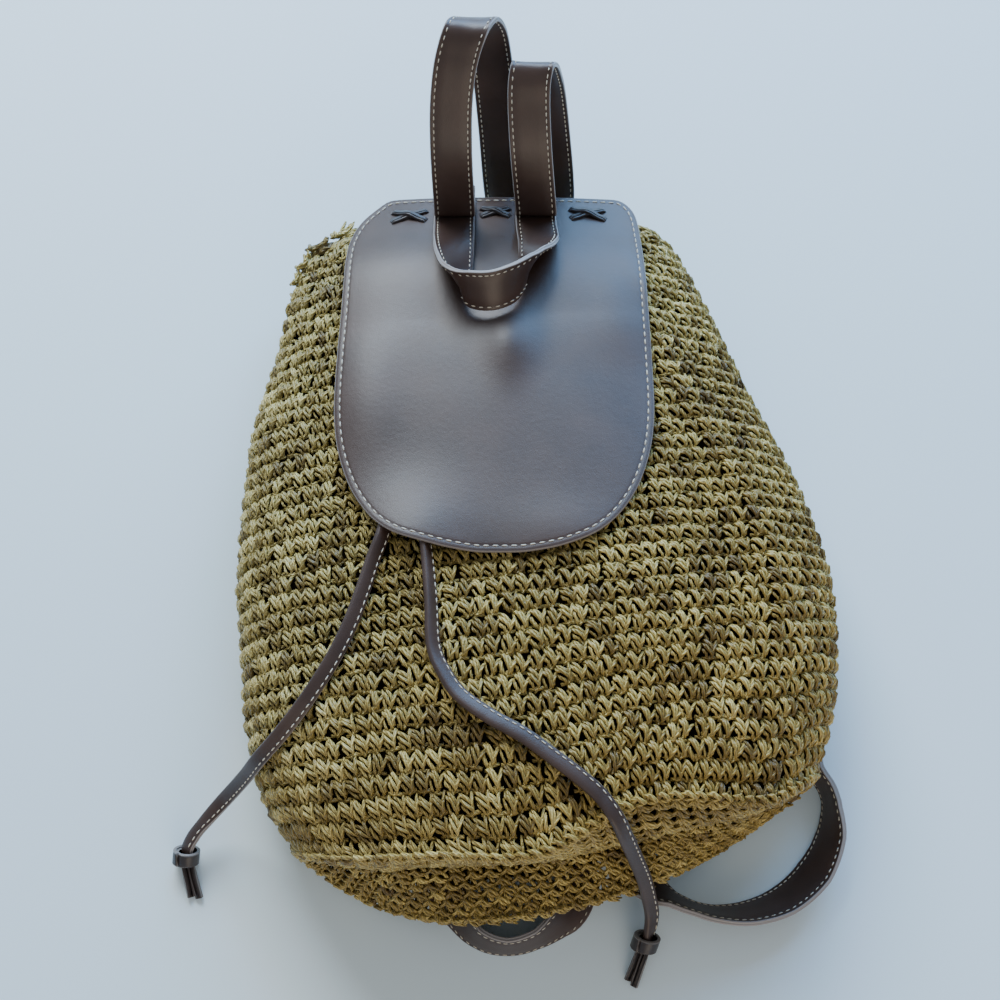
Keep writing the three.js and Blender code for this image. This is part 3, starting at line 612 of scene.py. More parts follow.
def rounded_edge(half, height, radius, groove, seam_inset, seam_depth):
    """Profile of a two-ply leather strap: rounded painted edges with a groove, and sewn seams."""
    top = [(half - radius + radius * math.cos(a), height - radius + radius * math.sin(a))
           for a in np.radians([8, 30, 55, 82])]
    side = [(half - groove, 0.0), (half, 0.24 * height)]
    seam = [(half - seam_inset + d, height - dip) for d, dip in ((0.7, 0.0), (0, seam_depth), (-0.7, 0.0))]
    right_upper = side + top + seam
    upper = right_upper + [(half * 0.35, height + 0.02)]
    upper = upper + [(-a, b) for a, b in reversed(upper)][: len(upper)]
    lower = [(-a, -b) for a, b in upper]
    profile = []
    for a, b in upper + lower:
        if not profile or math.hypot(a - profile[-1][0], b - profile[-1][1]) > 1e-6:
            profile.append((a, b))
    if math.hypot(profile[0][0] - profile[-1][0], profile[0][1] - profile[-1][1]) < 1e-6:
        profile.pop()
    return profile


def wear(made, replaced=None):
    """Puts a piece on the bag, in place of the plain solid it stands for."""
    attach(made, "root")
    if replaced:
        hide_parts(replaced)
    return made


def joined_bodies(name, bodies, material, edges=None):
    """Several closed bodies of (points, faces) as one piece."""
    faces, offset = [], 0
    for points, own in bodies:
        faces += [tuple(int(i) + offset for i in f) for f in own]
        offset += len(points)
    made = mesh_object(name, np.concatenate([points for points, _ in bodies]), faces, material)
    point_values(made, "edge", np.zeros(offset) if edges is None else np.concatenate(edges))
    return made


def strip_body(frames, profile, rims=(-math.inf, math.inf), floor=None):
    """A closed strip along frames, and which of its points are on its painted rims."""
    rings = []
    for at, across, up in frames:
        ring = np.array([at + across * a + up * b for a, b in profile])
        if floor is not None:
            ring[:, 2] += max(0.0, floor - ring[:, 2].min())
        rings.append(ring)
    points, faces = closed_rings(rings)
    shares = [float(a < rims[0] or a > rims[1]) for a, _ in profile]
    return (points, [f[::-1] for f in faces]), np.array([0.0] + shares * len(frames) + [0.0])


def swept(name, frames, profile, material, rims, floor=None):
    """One strip as a piece."""
    body, edges = strip_body(frames, profile, rims, floor)
    return joined_bodies(name, [body], material, [edges])


def seam_points(frames, pitch, offset, height, start, end, face=1):
    """Middles, forward and outward directions of the stitches of one seam along a strap."""
    middles, across, up = (np.array([f[i] for f in frames]) for i in range(3))
    lengths = run_lengths(middles)
    seats = middles + across * offset + up * height * face
    places = np.arange(start, lengths[-1] - end, pitch)
    at = points_along(places, lengths, seats)
    ahead = points_along(places + 0.5, lengths, seats)
    return at, ahead - at, points_along(places, lengths, up) * face


def geometry_tree(name, sizes):
    """A Geometry Nodes tree with named inputs, and its ends."""
    tree = bpy.data.node_groups.new(name, "GeometryNodeTree")
    tree.interface.new_socket("Geometry", in_out="INPUT", socket_type="NodeSocketGeometry")
    tree.interface.new_socket("Geometry", in_out="OUTPUT", socket_type="NodeSocketGeometry")
    for label, kind in sizes:
        tree.interface.new_socket(label, in_out="INPUT", socket_type=kind)
    return tree, tree.nodes.new("NodeGroupInput"), tree.nodes.new("NodeGroupOutput")


def node(tree, kind, inputs=None, **settings):
    """A node with its settings, its inputs being values or the sockets that feed them."""
    made = tree.nodes.new(kind)
    for key, value in settings.items():
        setattr(made, key, value)
    for key, value in (inputs or {}).items():
        if isinstance(value, bpy.types.NodeSocket):
            tree.links.new(value, made.inputs[key])
        else:
            made.inputs[key].default_value = value
    return made


def attribute(tree, name, kind="FLOAT_VECTOR"):
    """What an attribute of the points holds."""
    return node(tree, "GeometryNodeInputNamedAttribute", {"Name": name}, data_type=kind).outputs["Attribute"]


def turned(tree):
    """The turn that the attributes forward and outward give each point."""
    axes = {"Primary Axis": attribute(tree, "outward"), "Secondary Axis": attribute(tree, "forward")}
    return node(tree, "FunctionNodeAxesToRotation", axes, primary_axis="Z", secondary_axis="X").outputs[0]


def finish_instances(tree, instances, material, end):
    """Ends a tree: the instances become one mesh with a material."""
    real = node(tree, "GeometryNodeRealizeInstances", {"Geometry": instances})
    dressed = node(tree, "GeometryNodeSetMaterial", {"Geometry": real.outputs[0], "Material": material})
    tree.links.new(dressed.outputs[0], end.inputs["Geometry"])


def sewing_tree():
    """Thread stitches on points that hold the attributes forward and outward."""
    sizes = (("Length", "NodeSocketFloat"), ("Width", "NodeSocketFloat"), ("Height", "NodeSocketFloat"),
             ("Material", "NodeSocketMaterial"))
    tree, start, end = geometry_tree("thread stitches", sizes)
    given = start.outputs
    sphere = node(tree, "GeometryNodeMeshUVSphere", {"Segments": 6, "Rings": 4, "Radius": 0.5})
    size = node(tree, "ShaderNodeCombineXYZ",
                {"X": given["Length"], "Y": given["Width"], "Z": given["Height"]})
    thread = node(tree, "GeometryNodeTransform",
                  {"Geometry": sphere.outputs["Mesh"], "Scale": size.outputs[0]})
    placed = node(tree, "GeometryNodeInstanceOnPoints",
                  {"Points": given["Geometry"], "Instance": thread.outputs[0], "Rotation": turned(tree)})
    finish_instances(tree, placed.outputs[0], given["Material"], end)
    return tree


def crochet_tree():
    """Crochet stitches picked from a collection, on points with forward, outward, size and variant."""
    sizes = (("Stitches", "NodeSocketCollection"), ("Material", "NodeSocketMaterial"))
    tree, start, end = geometry_tree("crochet stitches", sizes)
    kinds = node(tree, "GeometryNodeCollectionInfo",
                 {"Collection": start.outputs["Stitches"], "Separate Children": True, "Reset Children": True})
    placed = node(tree, "GeometryNodeInstanceOnPoints",
                  {"Points": start.outputs["Geometry"], "Instance": kinds.outputs[0], "Pick Instance": True,
                   "Instance Index": attribute(tree, "variant", "INT"), "Rotation": turned(tree),
                   "Scale": attribute(tree, "size")})
    finish_instances(tree, placed.outputs[0], start.outputs["Material"], end)
    return tree


def grown(name, tree, points, vectors, values, inputs):
    """The mesh that a tree makes on points, in the row frame, with their attributes."""
    carrier = mesh_object(name + "_points", points, [])
    for key, data in vectors.items():
        layer = carrier.data.attributes.new(key, "FLOAT_VECTOR", "POINT")
        layer.data.foreach_set("vector", np.asarray(data, float).ravel())
    for key, data in values.items():
        kind = "INT" if key == "variant" else "FLOAT"
        carrier.data.attributes.new(key, kind, "POINT").data.foreach_set("value", data)
    modifier = carrier.modifiers.new(name, "NODES")
    modifier.node_group = tree
    sockets = {item.name: item.identifier for item in tree.interface.items_tree if item.in_out == "INPUT"}
    for key, value in inputs.items():
        modifier[sockets[key]] = value
    bpy.context.view_layer.update()
    ready = carrier.evaluated_get(bpy.context.evaluated_depsgraph_get())
    mesh = bpy.data.meshes.new_from_object(ready)
    mesh.name = name
    mesh.polygons.foreach_set("use_smooth", [True] * len(mesh.polygons))
    bpy.data.objects.remove(carrier, do_unlink=True)
    made = bpy.data.objects.new(name, mesh)
    bpy.context.scene.collection.objects.link(made)
    return made


def sewn(name, seams, length, width=0.62, height=0.55):
    """Seams of thread stitches as one piece; each seam is (points, forward, outward)."""
    points, forward, outward = (np.concatenate([seam[i] for seam in seams]) for i in range(3))
    sizes = {"Length": length * MM, "Width": width * MM, "Height": height * MM, "Material": THREAD}
    return wear(grown(name, SEWING, points, {"forward": forward, "outward": outward}, {}, sizes))


def start_material(name):
    """A new material: itself, its nodes, its shader, and the place on the object for its textures."""
    material = bpy.data.materials.new(name)
    material.use_nodes = True
    tree = material.node_tree
    return material, tree, tree.nodes["Principled BSDF"], node(tree, "ShaderNodeTexCoord").outputs["Object"]


def color_ramp(tree, factor, *stops):
    """The colour that a number picks between (position, colour) stops."""
    made = node(tree, "ShaderNodeValToRGB", {"Fac": factor})
    elements = made.color_ramp.elements
    for element, (position, color) in ((elements[0], stops[0]), (elements[1], stops[-1])):
        element.position, element.color = position, (*color, 1)
    for position, color in stops[1:-1]:
        elements.new(position).color = (*color, 1)
    return made.outputs["Color"]


def add_bump(tree, shader, height, strength, distance):
    bumped = node(tree, "ShaderNodeBump", {"Height": height, "Strength": strength, "Distance": distance})
    tree.links.new(bumped.outputs[0], shader.inputs["Normal"])


def tinted(tree, factor, color, other, blend="MIX"):
    """A colour blended by a factor with another fixed colour."""
    mixed = node(tree, "ShaderNodeMix", {"Factor": factor}, data_type="RGBA", blend_type=blend)
    tree.links.new(color, mixed.inputs[6])
    mixed.inputs[7].default_value = (*other, 1)
    return mixed.outputs[2]


def black_material(name, color):
    """A material that gives back almost no light: painted shade for the dark between the stitches."""
    material, _, shader, _ = start_material(name)
    shader.inputs["Base Color"].default_value = (*color, 1)
    shader.inputs["Roughness"].default_value = 1.0
    shader.inputs["Specular IOR Level"].default_value = 0.0
    return material


def set_camera():
    camera = bpy.data.objects.new("camera", bpy.data.cameras.new("camera"))
    bpy.context.scene.collection.objects.link(camera)
    rise = math.radians(CAMERA_HEIGHT_ANGLE)
    eye = CAMERA_TARGET + CAMERA_DISTANCE * np.array([0, -math.cos(rise), math.sin(rise)])
    camera.location = to_row(eye)
    camera.rotation_euler = (math.pi / 2 - rise, 0, 0)
    camera.data.lens = CAMERA_LENS
    camera.data.clip_start, camera.data.clip_end = 0.02, 20
    bpy.context.scene.camera = camera


def area_light(name, at, size, power, color):
    light = bpy.data.lights.new(name, "AREA")
    light.shape, light.size, light.energy, light.color = "DISK", size, power, color
    made = bpy.data.objects.new(name, light)
    made.location = at
    made.rotation_euler = (Vector(LIGHT_TARGET) - Vector(at)).to_track_quat("-Z", "Y").to_euler()
    bpy.context.scene.collection.objects.link(made)


def set_floor_and_lights():
    material, tree, shader, place = start_material("painted_floor")
    mottle = node(tree, "ShaderNodeTexNoise", {"Vector": place, "Scale": 2.5, "Detail": 2.0})
    tone = color_ramp(tree, mottle.outputs["Fac"], (0.0, (0.74, 0.88, 0.94)), (1.0, (0.80, 0.93, 0.98)))
    tree.links.new(tone, shader.inputs["Base Color"])
    shader.inputs["Roughness"].default_value = 0.62
    mesh = bpy.data.meshes.new("floor")
    half = FLOOR_HALF
    corners = [(-half, -half, 0), (half, -half, 0), (half, half, 0), (-half, half, 0)]
    mesh.from_pydata(corners, [], [(0, 1, 2, 3)])
    mesh.materials.append(material)
    floor = bpy.data.objects.new("floor", mesh)
    bpy.context.scene.collection.objects.link(floor)
    world = bpy.data.worlds.new("room")
    bpy.context.scene.world = world
    world.use_nodes = True
    background = world.node_tree.nodes["Background"]
    background.inputs["Color"].default_value = (0.86, 0.92, 1.0, 1)
    background.inputs["Strength"].default_value = ROOM_STRENGTH
    for light in LIGHTS:
        area_light(*light)


def leather(name, dark, light, roughness, grain, edge=(0.30, 0.27, 0.26)):
    """Smooth leather with a fine pebbled grain, rubbed lighter patches and painted edges."""
    material, tree, shader, place = start_material(name)
    patches = node(tree, "ShaderNodeTexNoise",
                   {"Vector": place, "Scale": 38.0, "Detail": 5.0, "Roughness": 0.55}).outputs["Fac"]
    tone = color_ramp(tree, patches, (0.32, dark), (0.72, light))
    rim = node(tree, "ShaderNodeAttribute", attribute_name="edge").outputs["Fac"]
    tree.links.new(tinted(tree, rim, tone, edge), shader.inputs["Base Color"])
    pebbles = node(tree, "ShaderNodeTexVoronoi", {"Vector": place, "Scale": 1500.0},
                   feature="DISTANCE_TO_EDGE")
    creases = node(tree, "ShaderNodeTexNoise", {"Vector": place, "Scale": 420.0, "Detail": 4.0})
    height = node(tree, "ShaderNodeMath", {0: pebbles.outputs["Distance"], 1: creases.outputs["Fac"]},
                  operation="ADD")
    add_bump(tree, shader, height.outputs[0], grain, 0.0004)
    gloss = node(tree, "ShaderNodeMapRange",
                 {"Value": patches, "To Min": roughness - 0.05, "To Max": roughness + 0.07})
    tree.links.new(gloss.outputs[0], shader.inputs["Roughness"])
    return material


def thread_material():
    """Waxed cream thread."""
    material, tree, shader, place = start_material("sewing_thread")
    shades = node(tree, "ShaderNodeTexNoise", {"Vector": place, "Scale": 160.0, "Detail": 2.0})
    tone = color_ramp(tree, shades.outputs["Fac"], (0.0, (0.58, 0.51, 0.38)), (1.0, (0.84, 0.79, 0.66)))
    tree.links.new(tone, shader.inputs["Base Color"])
    twist = node(tree, "ShaderNodeTexWave", {"Vector": place, "Scale": 900.0, "Distortion": 3.0})
    add_bump(tree, shader, twist.outputs["Fac"], 0.5, 0.0002)
    shader.inputs["Roughness"].default_value = 0.72
    shader.inputs["Sheen Weight"].default_value = 0.25
    return material


def straw_material():
    """Dyed paper straw: glossy twisted fibres with painted shade between them and painted highlight on their
    crests, each stitch its own tint, warmer at the lower right.
    """
    material, tree, shader, place = start_material("olive_straw")

    def math_node(operation, first, second=0.0, third=0.0):
        return node(tree, "ShaderNodeMath", {0: first, 1: second, 2: third}, operation=operation).outputs[0]

    def ranged(value, start, end, low, high):
        limits = {"From Min": start, "From Max": end, "To Min": low, "To Max": high}
        return node(tree, "ShaderNodeMapRange", {"Value": value, **limits}).outputs[0]

    tint = node(tree, "ShaderNodeAttribute", attribute_name="tint").outputs["Fac"]
    zones = node(tree, "ShaderNodeTexNoise",
                 {"Vector": place, "Scale": 14.0, "Detail": 3.0, "Roughness": 0.6})
    spread = math_node("MULTIPLY_ADD", zones.outputs["Fac"], 0.55, -0.2)
    shade = math_node("MULTIPLY_ADD", tint, 0.62, spread)
    tone = color_ramp(tree, shade, (0.0, (0.15, 0.10, 0.028)), (0.3, (0.36, 0.275, 0.08)),
                      (0.62, (0.63, 0.52, 0.185)), (1.0, (0.93, 0.82, 0.40)))
    fibre = node(tree, "ShaderNodeUVMap", uv_map="fibre").outputs["UV"]
    split = node(tree, "ShaderNodeSeparateXYZ", {"Vector": fibre})
    twist = math_node("MULTIPLY_ADD", split.outputs["X"], 0.9, split.outputs["Y"])
    lines = math_node("SINE", math_node("MULTIPLY", twist, FIBRES * 2 * math.pi))
    grit = node(tree, "ShaderNodeTexNoise", {"Vector": place, "Scale": 900.0, "Detail": 2.0})
    height = math_node("MULTIPLY_ADD", lines, 0.35, grit.outputs["Fac"])
    apart = node(tree, "ShaderNodeSeparateXYZ", {"Vector": place})
    corner = math_node("SUBTRACT", apart.outputs["X"], apart.outputs["Y"])
    warmed = tinted(tree, ranged(corner, -0.08, 0.2, 0.0, 0.7), tone, (1.0, 0.84, 0.60), "MULTIPLY")
    # The colour is scaled by the fibres' height and grit: painted shade in the grooves between the twisted
    # fibres, painted highlight on their crests.
    groove_shaded_color = node(tree, "ShaderNodeVectorMath", {0: warmed, "Scale": ranged(height, 0.0, 1.0, 0.42, 1.22)},
                 operation="SCALE")
    tree.links.new(groove_shaded_color.outputs[0], shader.inputs["Base Color"])
    add_bump(tree, shader, height, 0.8, 0.0006)
    shader.inputs["Roughness"].default_value = 0.46
    return material


def cord_frames(route, step, body_tree, twist, twist_end):
    """Frames along a drawstring that lies flat on the bag, then turns down to its knot."""
    points = [np.array(p, float) for p in route]
    line = []
    for i in range(len(points) - 1):
        parts = max(1, round(np.linalg.norm(points[i + 1] - points[i]) / step))
        line += [spline_point(points, i, k / parts) for k in range(parts + (i == len(points) - 2))]
    ups = np.array([np.array(body_tree.find_nearest(Vector(to_row(at)))[1]) + CORD_UPRIGHT for at, _ in line])
    for _ in range(CORD_CALM_ROUNDS):
        ups[1:-1] = (ups[:-2] + ups[1:-1] * 2 + ups[2:]) / 4
    frames = []
    for i, ((at, forward), up) in enumerate(zip(line, ups)):
        across = unit(np.cross(forward, up))
        up = unit(np.cross(across, forward))
        share = max(0.0, 1 - i / len(line) / twist_end)
        roll = math.radians(CORD_LEAN + (twist - CORD_LEAN) * share * share * (3 - 2 * share))
        up = up * math.cos(roll) - across * math.sin(roll)
        frames.append((at, unit(np.cross(forward, up)), up))
    return frames


def cord_profile():
    """A leather strip folded over itself: round at its fold, two edges at its open side."""
    half, height = CORD_WIDTH / 2, CORD_THICKNESS / 2
    fold = height * 0.75
    right = [(half - fold + fold * math.cos(a), height * math.sin(a))
             for a in np.radians([-75, -50, -25, 0, 25, 50, 75])]
    upper = [(half * 0.35, height), (-half * 0.25, height * 0.97), (-half * 0.5, height * 0.78),
             (-half * 0.68, height * 0.8)]
    lip = [(-half + 0.25, height * 0.66), (-half, height * 0.42), (-half + 0.05, height * 0.14)]
    return (right + upper + lip + [(-half + 0.55, 0.0)]
            + [(a, -b) for a, b in reversed(lip)] + [(a, -b) for a, b in reversed(upper)])


def knot_piece(name, route, tails, material):
    """The cord's end wound round itself as an open coil, its two plies cut short as tails."""
    end, before = np.array(route[-1], float), np.array(route[-2], float)
    back = before - end
    axis = direction(math.degrees(math.atan2(back[1], back[0])), KNOT_TILT)
    side = unit(np.cross(axis, [0, 0, 1]))
    front = unit(np.cross(side, axis))
    bottom = end - axis * (KNOT_HEIGHT * 0.5 + 1.3 * CLEARANCE)
    coil = []
    for t in np.linspace(0, 1, COIL_STEPS + 1):
        a = math.radians(KNOT_START + KNOT_TURN * t)
        radial = side * math.cos(a) + front * math.sin(a)
        rise = 3.9 + 1.2 * math.sin(a + 0.6) - 0.8 * t
        at = bottom + axis * rise + radial * (KNOT_RADIUS - 0.75 - 1.5 * t)
        forward = unit(front * math.cos(a) - side * math.sin(a) + axis * 0.16 * math.cos(a + 0.6))
        out = unit(radial - forward * radial.dot(forward))
        coil.append((at, unit(np.cross(forward, out)), out))
    parts = [strip_body(coil, rounded_edge(3.5, 0.75, 0.35, 0.12, 0.9, 0.05), (-3.15, 3.15))]
    angles = np.linspace(0, 2 * math.pi, 18, endpoint=False)[:, None]
    core = closed_rings([bottom + axis * h + (side * np.cos(angles) + front * np.sin(angles)) * r
                         for h, r in KNOT_CORE])
    parts.append((core, np.zeros(len(core[0]))))
    flat_bottom = bottom * [1, 1, 0]
    heading = unit(np.mean([np.array([x, y, 0.0]) for x, y in tails], axis=0) - flat_bottom)
    sideways = np.cross(heading, [0, 0, 1.0])
    for sign, reach in ((-1, 17.0), (1, 15.4)):
        start = bottom + axis * 1.8 + sideways * sign * 1.2
        tip = flat_bottom + heading * reach + sideways * sign * 1.75 + np.array([0, 0, 1.0])
        middle = (start + tip) / 2 + np.array([0, 0, 0.8])
        across = unit(sideways + np.array([0, 0, 0.5 * sign]))
        frames = ribbon_frames([(start, sideways), (middle, across), (tip, across)], 1.2)
        parts.append(strip_body(frames, rounded_edge(1.65, 0.8, 0.3, 0.15, 0.7, 0.04), (-1.4, 1.4), 0.1))
    made = joined_bodies(name, [body for body, _ in parts], material, [rims for _, rims in parts])
    keep_above_floor(made)
    return made


def make_drawstring(side, route, body_tree, twist, twist_end):
    frames = cord_frames(route, 2.0, body_tree, twist, twist_end)
    made = swept(f"drawstring_{side}_folded_strip", frames, cord_profile(), CORD_LEATHER,
                 (-CORD_WIDTH / 2 + 0.2, math.inf))
    knot = knot_piece(f"knot_{side}_wound", route, KNOT_TAILS[side], SHADED_KNOT_LEATHER)
    wear(knot, f"knot_{side}")
    wear(made, f"drawstring_{side}")
    height = CORD_THICKNESS / 2 * 0.79 + 0.12
    seam = seam_points(frames, CORD_STITCH_PITCH, -CORD_WIDTH / 2 * 0.6, height, 1.5, 4.0)
    thread = sewn(f"drawstring_{side}_stitches", [seam], CORD_STITCH_LENGTH)


def make_strap(name, stations, replaced):
    frames = ribbon_frames(stations, 2.2)
    half, rim = STRAP_WIDTH / 2, STRAP_WIDTH / 2 - 0.5
    profile = rounded_edge(half, STRAP_THICKNESS / 2, 0.6, 0.32, SEAM_INSET, 0.16)
    wear(swept(name, frames, profile, STRAP_LEATHER, (-rim, rim), 0.0), replaced)
    seams = [seam_points(frames, STITCH_PITCH, offset, STRAP_THICKNESS / 2 - 0.02, SEAM_END, SEAM_END, face)
             for offset in (-half + SEAM_INSET, half - SEAM_INSET) for face in (1, -1)]
    for points, _, _ in seams:
        points[:, 2] = np.maximum(points[:, 2], THREAD_ABOVE_FLOOR)
    sewn(name + "_stitches", seams, STITCH_LENGTH)


def flap_border():
    """The flap's outline in plan, going round once at even steps."""
    left, right = [], []
    for i in range(91):
        along = (1 - math.cos(math.pi * i / 90)) / 2
        row = row_at(FLAP_OUTLINE, FLAP_COLUMNS, along)
        left.append((row["left"], along))
        right.append((row["right"], along))
    top = [(left[0][0] + (right[0][0] - left[0][0]) * k / 26, 0.0) for k in range(1, 26)]
    foot = [(right[-1][0] + (left[-1][0] - right[-1][0]) * k / 6, 1.0) for k in range(1, 6)]
    outline = left[::-1] + top + right + foot
    closed = np.array([flap_plan(x, a) for x, a in outline + outline[:1]])
    lengths = run_lengths(closed)
    even = points_along(np.linspace(0, lengths[-1], 240, endpoint=False), lengths, closed)
    for _ in range(2):
        even = (np.roll(even, 1, axis=0) + 2 * even + np.roll(even, -1, axis=0)) / 4
    return even


def flap_height(plan):
    """Height of the flap's underside over points in plan."""
    x, along = plan[:, 0] / FLAP_WIDTH, (FLAP_TOP * BODY_LENGTH - plan[:, 1]) / FLAP_LENGTH
    return np.array([flap_under(a, min(max(b, 0), 1)) for a, b in zip(x, along)])


def make_flap():
    """One sheet of leather with painted edges and a sewn border."""
    border = flap_border()
    ahead = np.roll(border, -1, axis=0) - np.roll(border, 1, axis=0)
    inward = np.stack([ahead[:, 1], -ahead[:, 0]], axis=1)
    inward /= np.linalg.norm(inward, axis=1, keepdims=True)
    middle = border.mean(axis=0)
    if np.sum((middle - border) * inward) < 0:
        inward = -inward
    plans = [border + inward * inset for inset, _ in FLAP_EDGE]
    drops = [drop for _, drop in FLAP_EDGE]
    shares = np.linspace(1, 0.0, 24)[1:-1]
    plans += [middle + (plans[-1] - middle) * s for s in shares]
    drops += [0.0] * len(shares)
    heights = [flap_height(p) for p in plans]
    upper = [np.column_stack([p, h + FLAP_THICKNESS - d + leather_relief(p)])
             for p, h, d in zip(plans, heights, drops)]
    lower = [np.column_stack([p, h + d * 0.8]) for p, h, d in zip(plans, heights, drops)]
    groove = np.column_stack([border + inward * 0.22, heights[0] + FLAP_THICKNESS / 2])
    peak = middle.reshape(1, 2)
    base = flap_height(peak)[0]
    top_pole = np.array([*middle, base + FLAP_THICKNESS + leather_relief(peak)[0]])
    points, faces = closed_rings(upper[::-1] + [groove] + lower, top_pole, np.array([*middle, base]))
    made = mesh_object("flap_leather", points, faces, FLAP_LEATHER)
    fix_outward(made)
    plain = [0.0] * (len(plans) - 3)
    painted = plain + [0.5, 1.0, 1.0, 1.0, 1.0, 1.0, 0.5] + plain
    point_values(made, "edge", np.concatenate([[0.0], np.repeat(painted, len(border)), [0.0]]))
    wear(made, "flap")
    seam = border + inward * FLAP_SEAM_INSET
    closed = np.concatenate([seam, seam[:1]])
    lengths = run_lengths(closed)
    places = np.linspace(0, lengths[-1], int(lengths[-1] / FLAP_STITCH_PITCH), endpoint=False)

    def over(at):
        plan = points_along(at % lengths[-1], lengths, closed)
        return np.column_stack([plan, flap_height(plan) + FLAP_THICKNESS + leather_relief(plan) + 0.02])

    here, there = over(places), over(places + 1.0)
    out = np.tile([0.0, 0.0, 1.0], (len(here), 1))
    sewn("flap_stitches", [(here, there - here, out)], FLAP_STITCH_LENGTH, 0.75, 0.65)


def leather_relief(plan):
    """Shallow waves that the leather keeps from use, in millimetres over points in plan."""
    x, y = plan[:, 0], plan[:, 1]
    waves = 0.22 * np.sin(x / 13.0 + 0.4 * np.sin(y / 21.0)) * bump(y - 95, 42)
    waves = waves + 0.3 * bump(x + 2 + 0.1 * (y - 60), 9) * bump(y - 60, 38)
    waves = waves - 0.35 * bump(x - 22, 13) * bump(y - 82, 20) - 0.3 * bump(x + 26, 12) * bump(y - 84, 22)
    return waves + 0.12 * np.sin(y / 17.0 + x / 40.0)


def fix_outward(made):
    """Turns a closed body's faces so that they look outward."""
    mesh = made.data
    coords = np.empty(len(mesh.vertices) * 3)
    mesh.vertices.foreach_get("co", coords)
    coords = coords.reshape(-1, 3)
    mesh.calc_loop_triangles()
    corners = np.empty(len(mesh.loop_triangles) * 3, dtype=np.int32)
    mesh.loop_triangles.foreach_get("vertices", corners)
    a, b, c = (coords[corners.reshape(-1, 3)[:, i]] for i in range(3))
    if np.einsum("ij,ij->i", a, np.cross(b, c)).sum() < 0:
        mesh.flip_normals()


def make_lacing(name, x, along, cross):
    """Two thongs that cross on the flap's margin, their ends pushed through slits."""
    arm = cross / 2
    middle = on_flap(x, along, 0.0)
    forward = unit(on_flap(x, along - 0.01, 0.0) - middle)
    right = unit(on_flap(x + 0.01, along, 0.0) - middle)
    up = unit(np.cross(right, forward))
    forward = np.cross(up, right)
    profile = rounded_edge(LACE_WIDTH / 2, LACE_THICKNESS / 2, 0.3, 0.1, 0.8, 0.0)
    t = np.linspace(-1, 1, 23)[:, None]
    bodies = []
    for turn, crossing in LACE_CROSSINGS:
        lift = 0.5 + crossing * np.exp(-((t / 0.42) ** 2)) - 1.9 * np.maximum(0, (np.abs(t) - 0.8) / 0.2) ** 2
        line = middle + right * (t * arm) + forward * (t * arm * LACE_SLOPE * turn) + up * lift
        frames = []
        for at, ahead in zip(line, np.gradient(line, axis=0)):
            across = unit(np.cross(unit(ahead), up))
            frames.append((at, across, unit(np.cross(across, unit(ahead)))))
        bodies.append(strip_body(frames, profile)[0])
    wear(joined_bodies(name + "_thongs", bodies, LACE_LEATHER), name)


def outer_faces(rings, start):
    """The faces of rings from a closed start to an open end, for finding places on them."""
    points, faces = closed_rings(rings, start)
    last = len(points) - 1
    return BVHTree.FromPolygons([Vector(p) for p in points], [f for f in faces if last not in f])


def base_rings(angles, shares):
    """Rings of the bulged base from its middle to its border, its middle point and its direction."""
    border, calm = skin(0, angles), skin(0, angles, True)
    middle, turn = calm.mean(axis=0), section_at(0)["turn"]
    out = np.array([math.sin(turn), -math.cos(turn), 0])
    found = []
    for share in shares:
        edge = calm + (border - calm) * share**1.5
        found.append(middle + (edge - middle) * share + out * BASE_BULGE * (1 - share**4))
    return found, middle, out


def straw_shell(outer_inset, inner_inset):
    """A near-black shell between two depths under the bag's surface, from its base to its mouth: painted
    shade that shows through the gaps between the stitches.
    """
    stops = np.concatenate([np.linspace(0.03, 0.86, 45), np.linspace(0.875, 0.97, 9)])
    angles = -np.arange(SHELL_SIDES) / SHELL_SIDES * 2 * math.pi
    borders = [skin(a, angles) for a in stops]
    middle = borders[0].mean(axis=0)
    rings = [middle + (borders[0] - middle) * share for share in (0.15, 0.35, 0.55, 0.75, 0.9)]
    along = np.concatenate([np.zeros(len(rings)), stops])
    at_mouth = np.clip((along - NARROW_FROM) / NARROW_RUN, 0, 1)[:, None, None]
    net = np.array(rings + borders)
    before = np.concatenate([np.repeat([[middle]], SHELL_SIDES, axis=1), net[:-1]])
    after = np.concatenate([net[1:], net[-1:]])
    around = np.roll(net, -1, axis=1) - np.roll(net, 1, axis=1)
    normals = np.cross(around, after - before)
    for _ in range(3):
        normals /= np.linalg.norm(normals, axis=2, keepdims=True) + 1e-9
        normals = normals * 2 + np.roll(normals, 1, axis=1) + np.roll(normals, -1, axis=1)
    normals /= np.linalg.norm(normals, axis=2, keepdims=True) + 1e-9
    surface = outer_faces(list(net), middle)
    centres = net.mean(axis=1, keepdims=True)
    extents = (net.max(axis=1, keepdims=True) - net.min(axis=1, keepdims=True)) / 2
    extents[:, :, 1] = math.inf

    def inset(depth):
        """The net a depth under the surface, and drawn in to its middle where the gathers are."""
        sunk = (net - normals * depth).reshape(-1, 3)
        least = depth - 0.5
        for _ in range(3):
            for k, at in enumerate(sunk):
                nearest, normal = (np.array(v) for v in surface.find_nearest(Vector(at))[:2])
                if (at - nearest) @ normal > -least:
                    sunk[k] = nearest - normal * least
        drawn = centres + (net - centres) * (1 - depth * MOUTH_INSET / extents)
        return sunk.reshape(net.shape) * (1 - at_mouth) + drawn * at_mouth

    outer, inner = inset(outer_inset), inset(inner_inset)
    back = np.array([0, 1.0, 0])
    rings = list(outer) + list(inner[::-1])
    return closed_rings(rings, middle + back * outer_inset, middle + back * inner_inset)


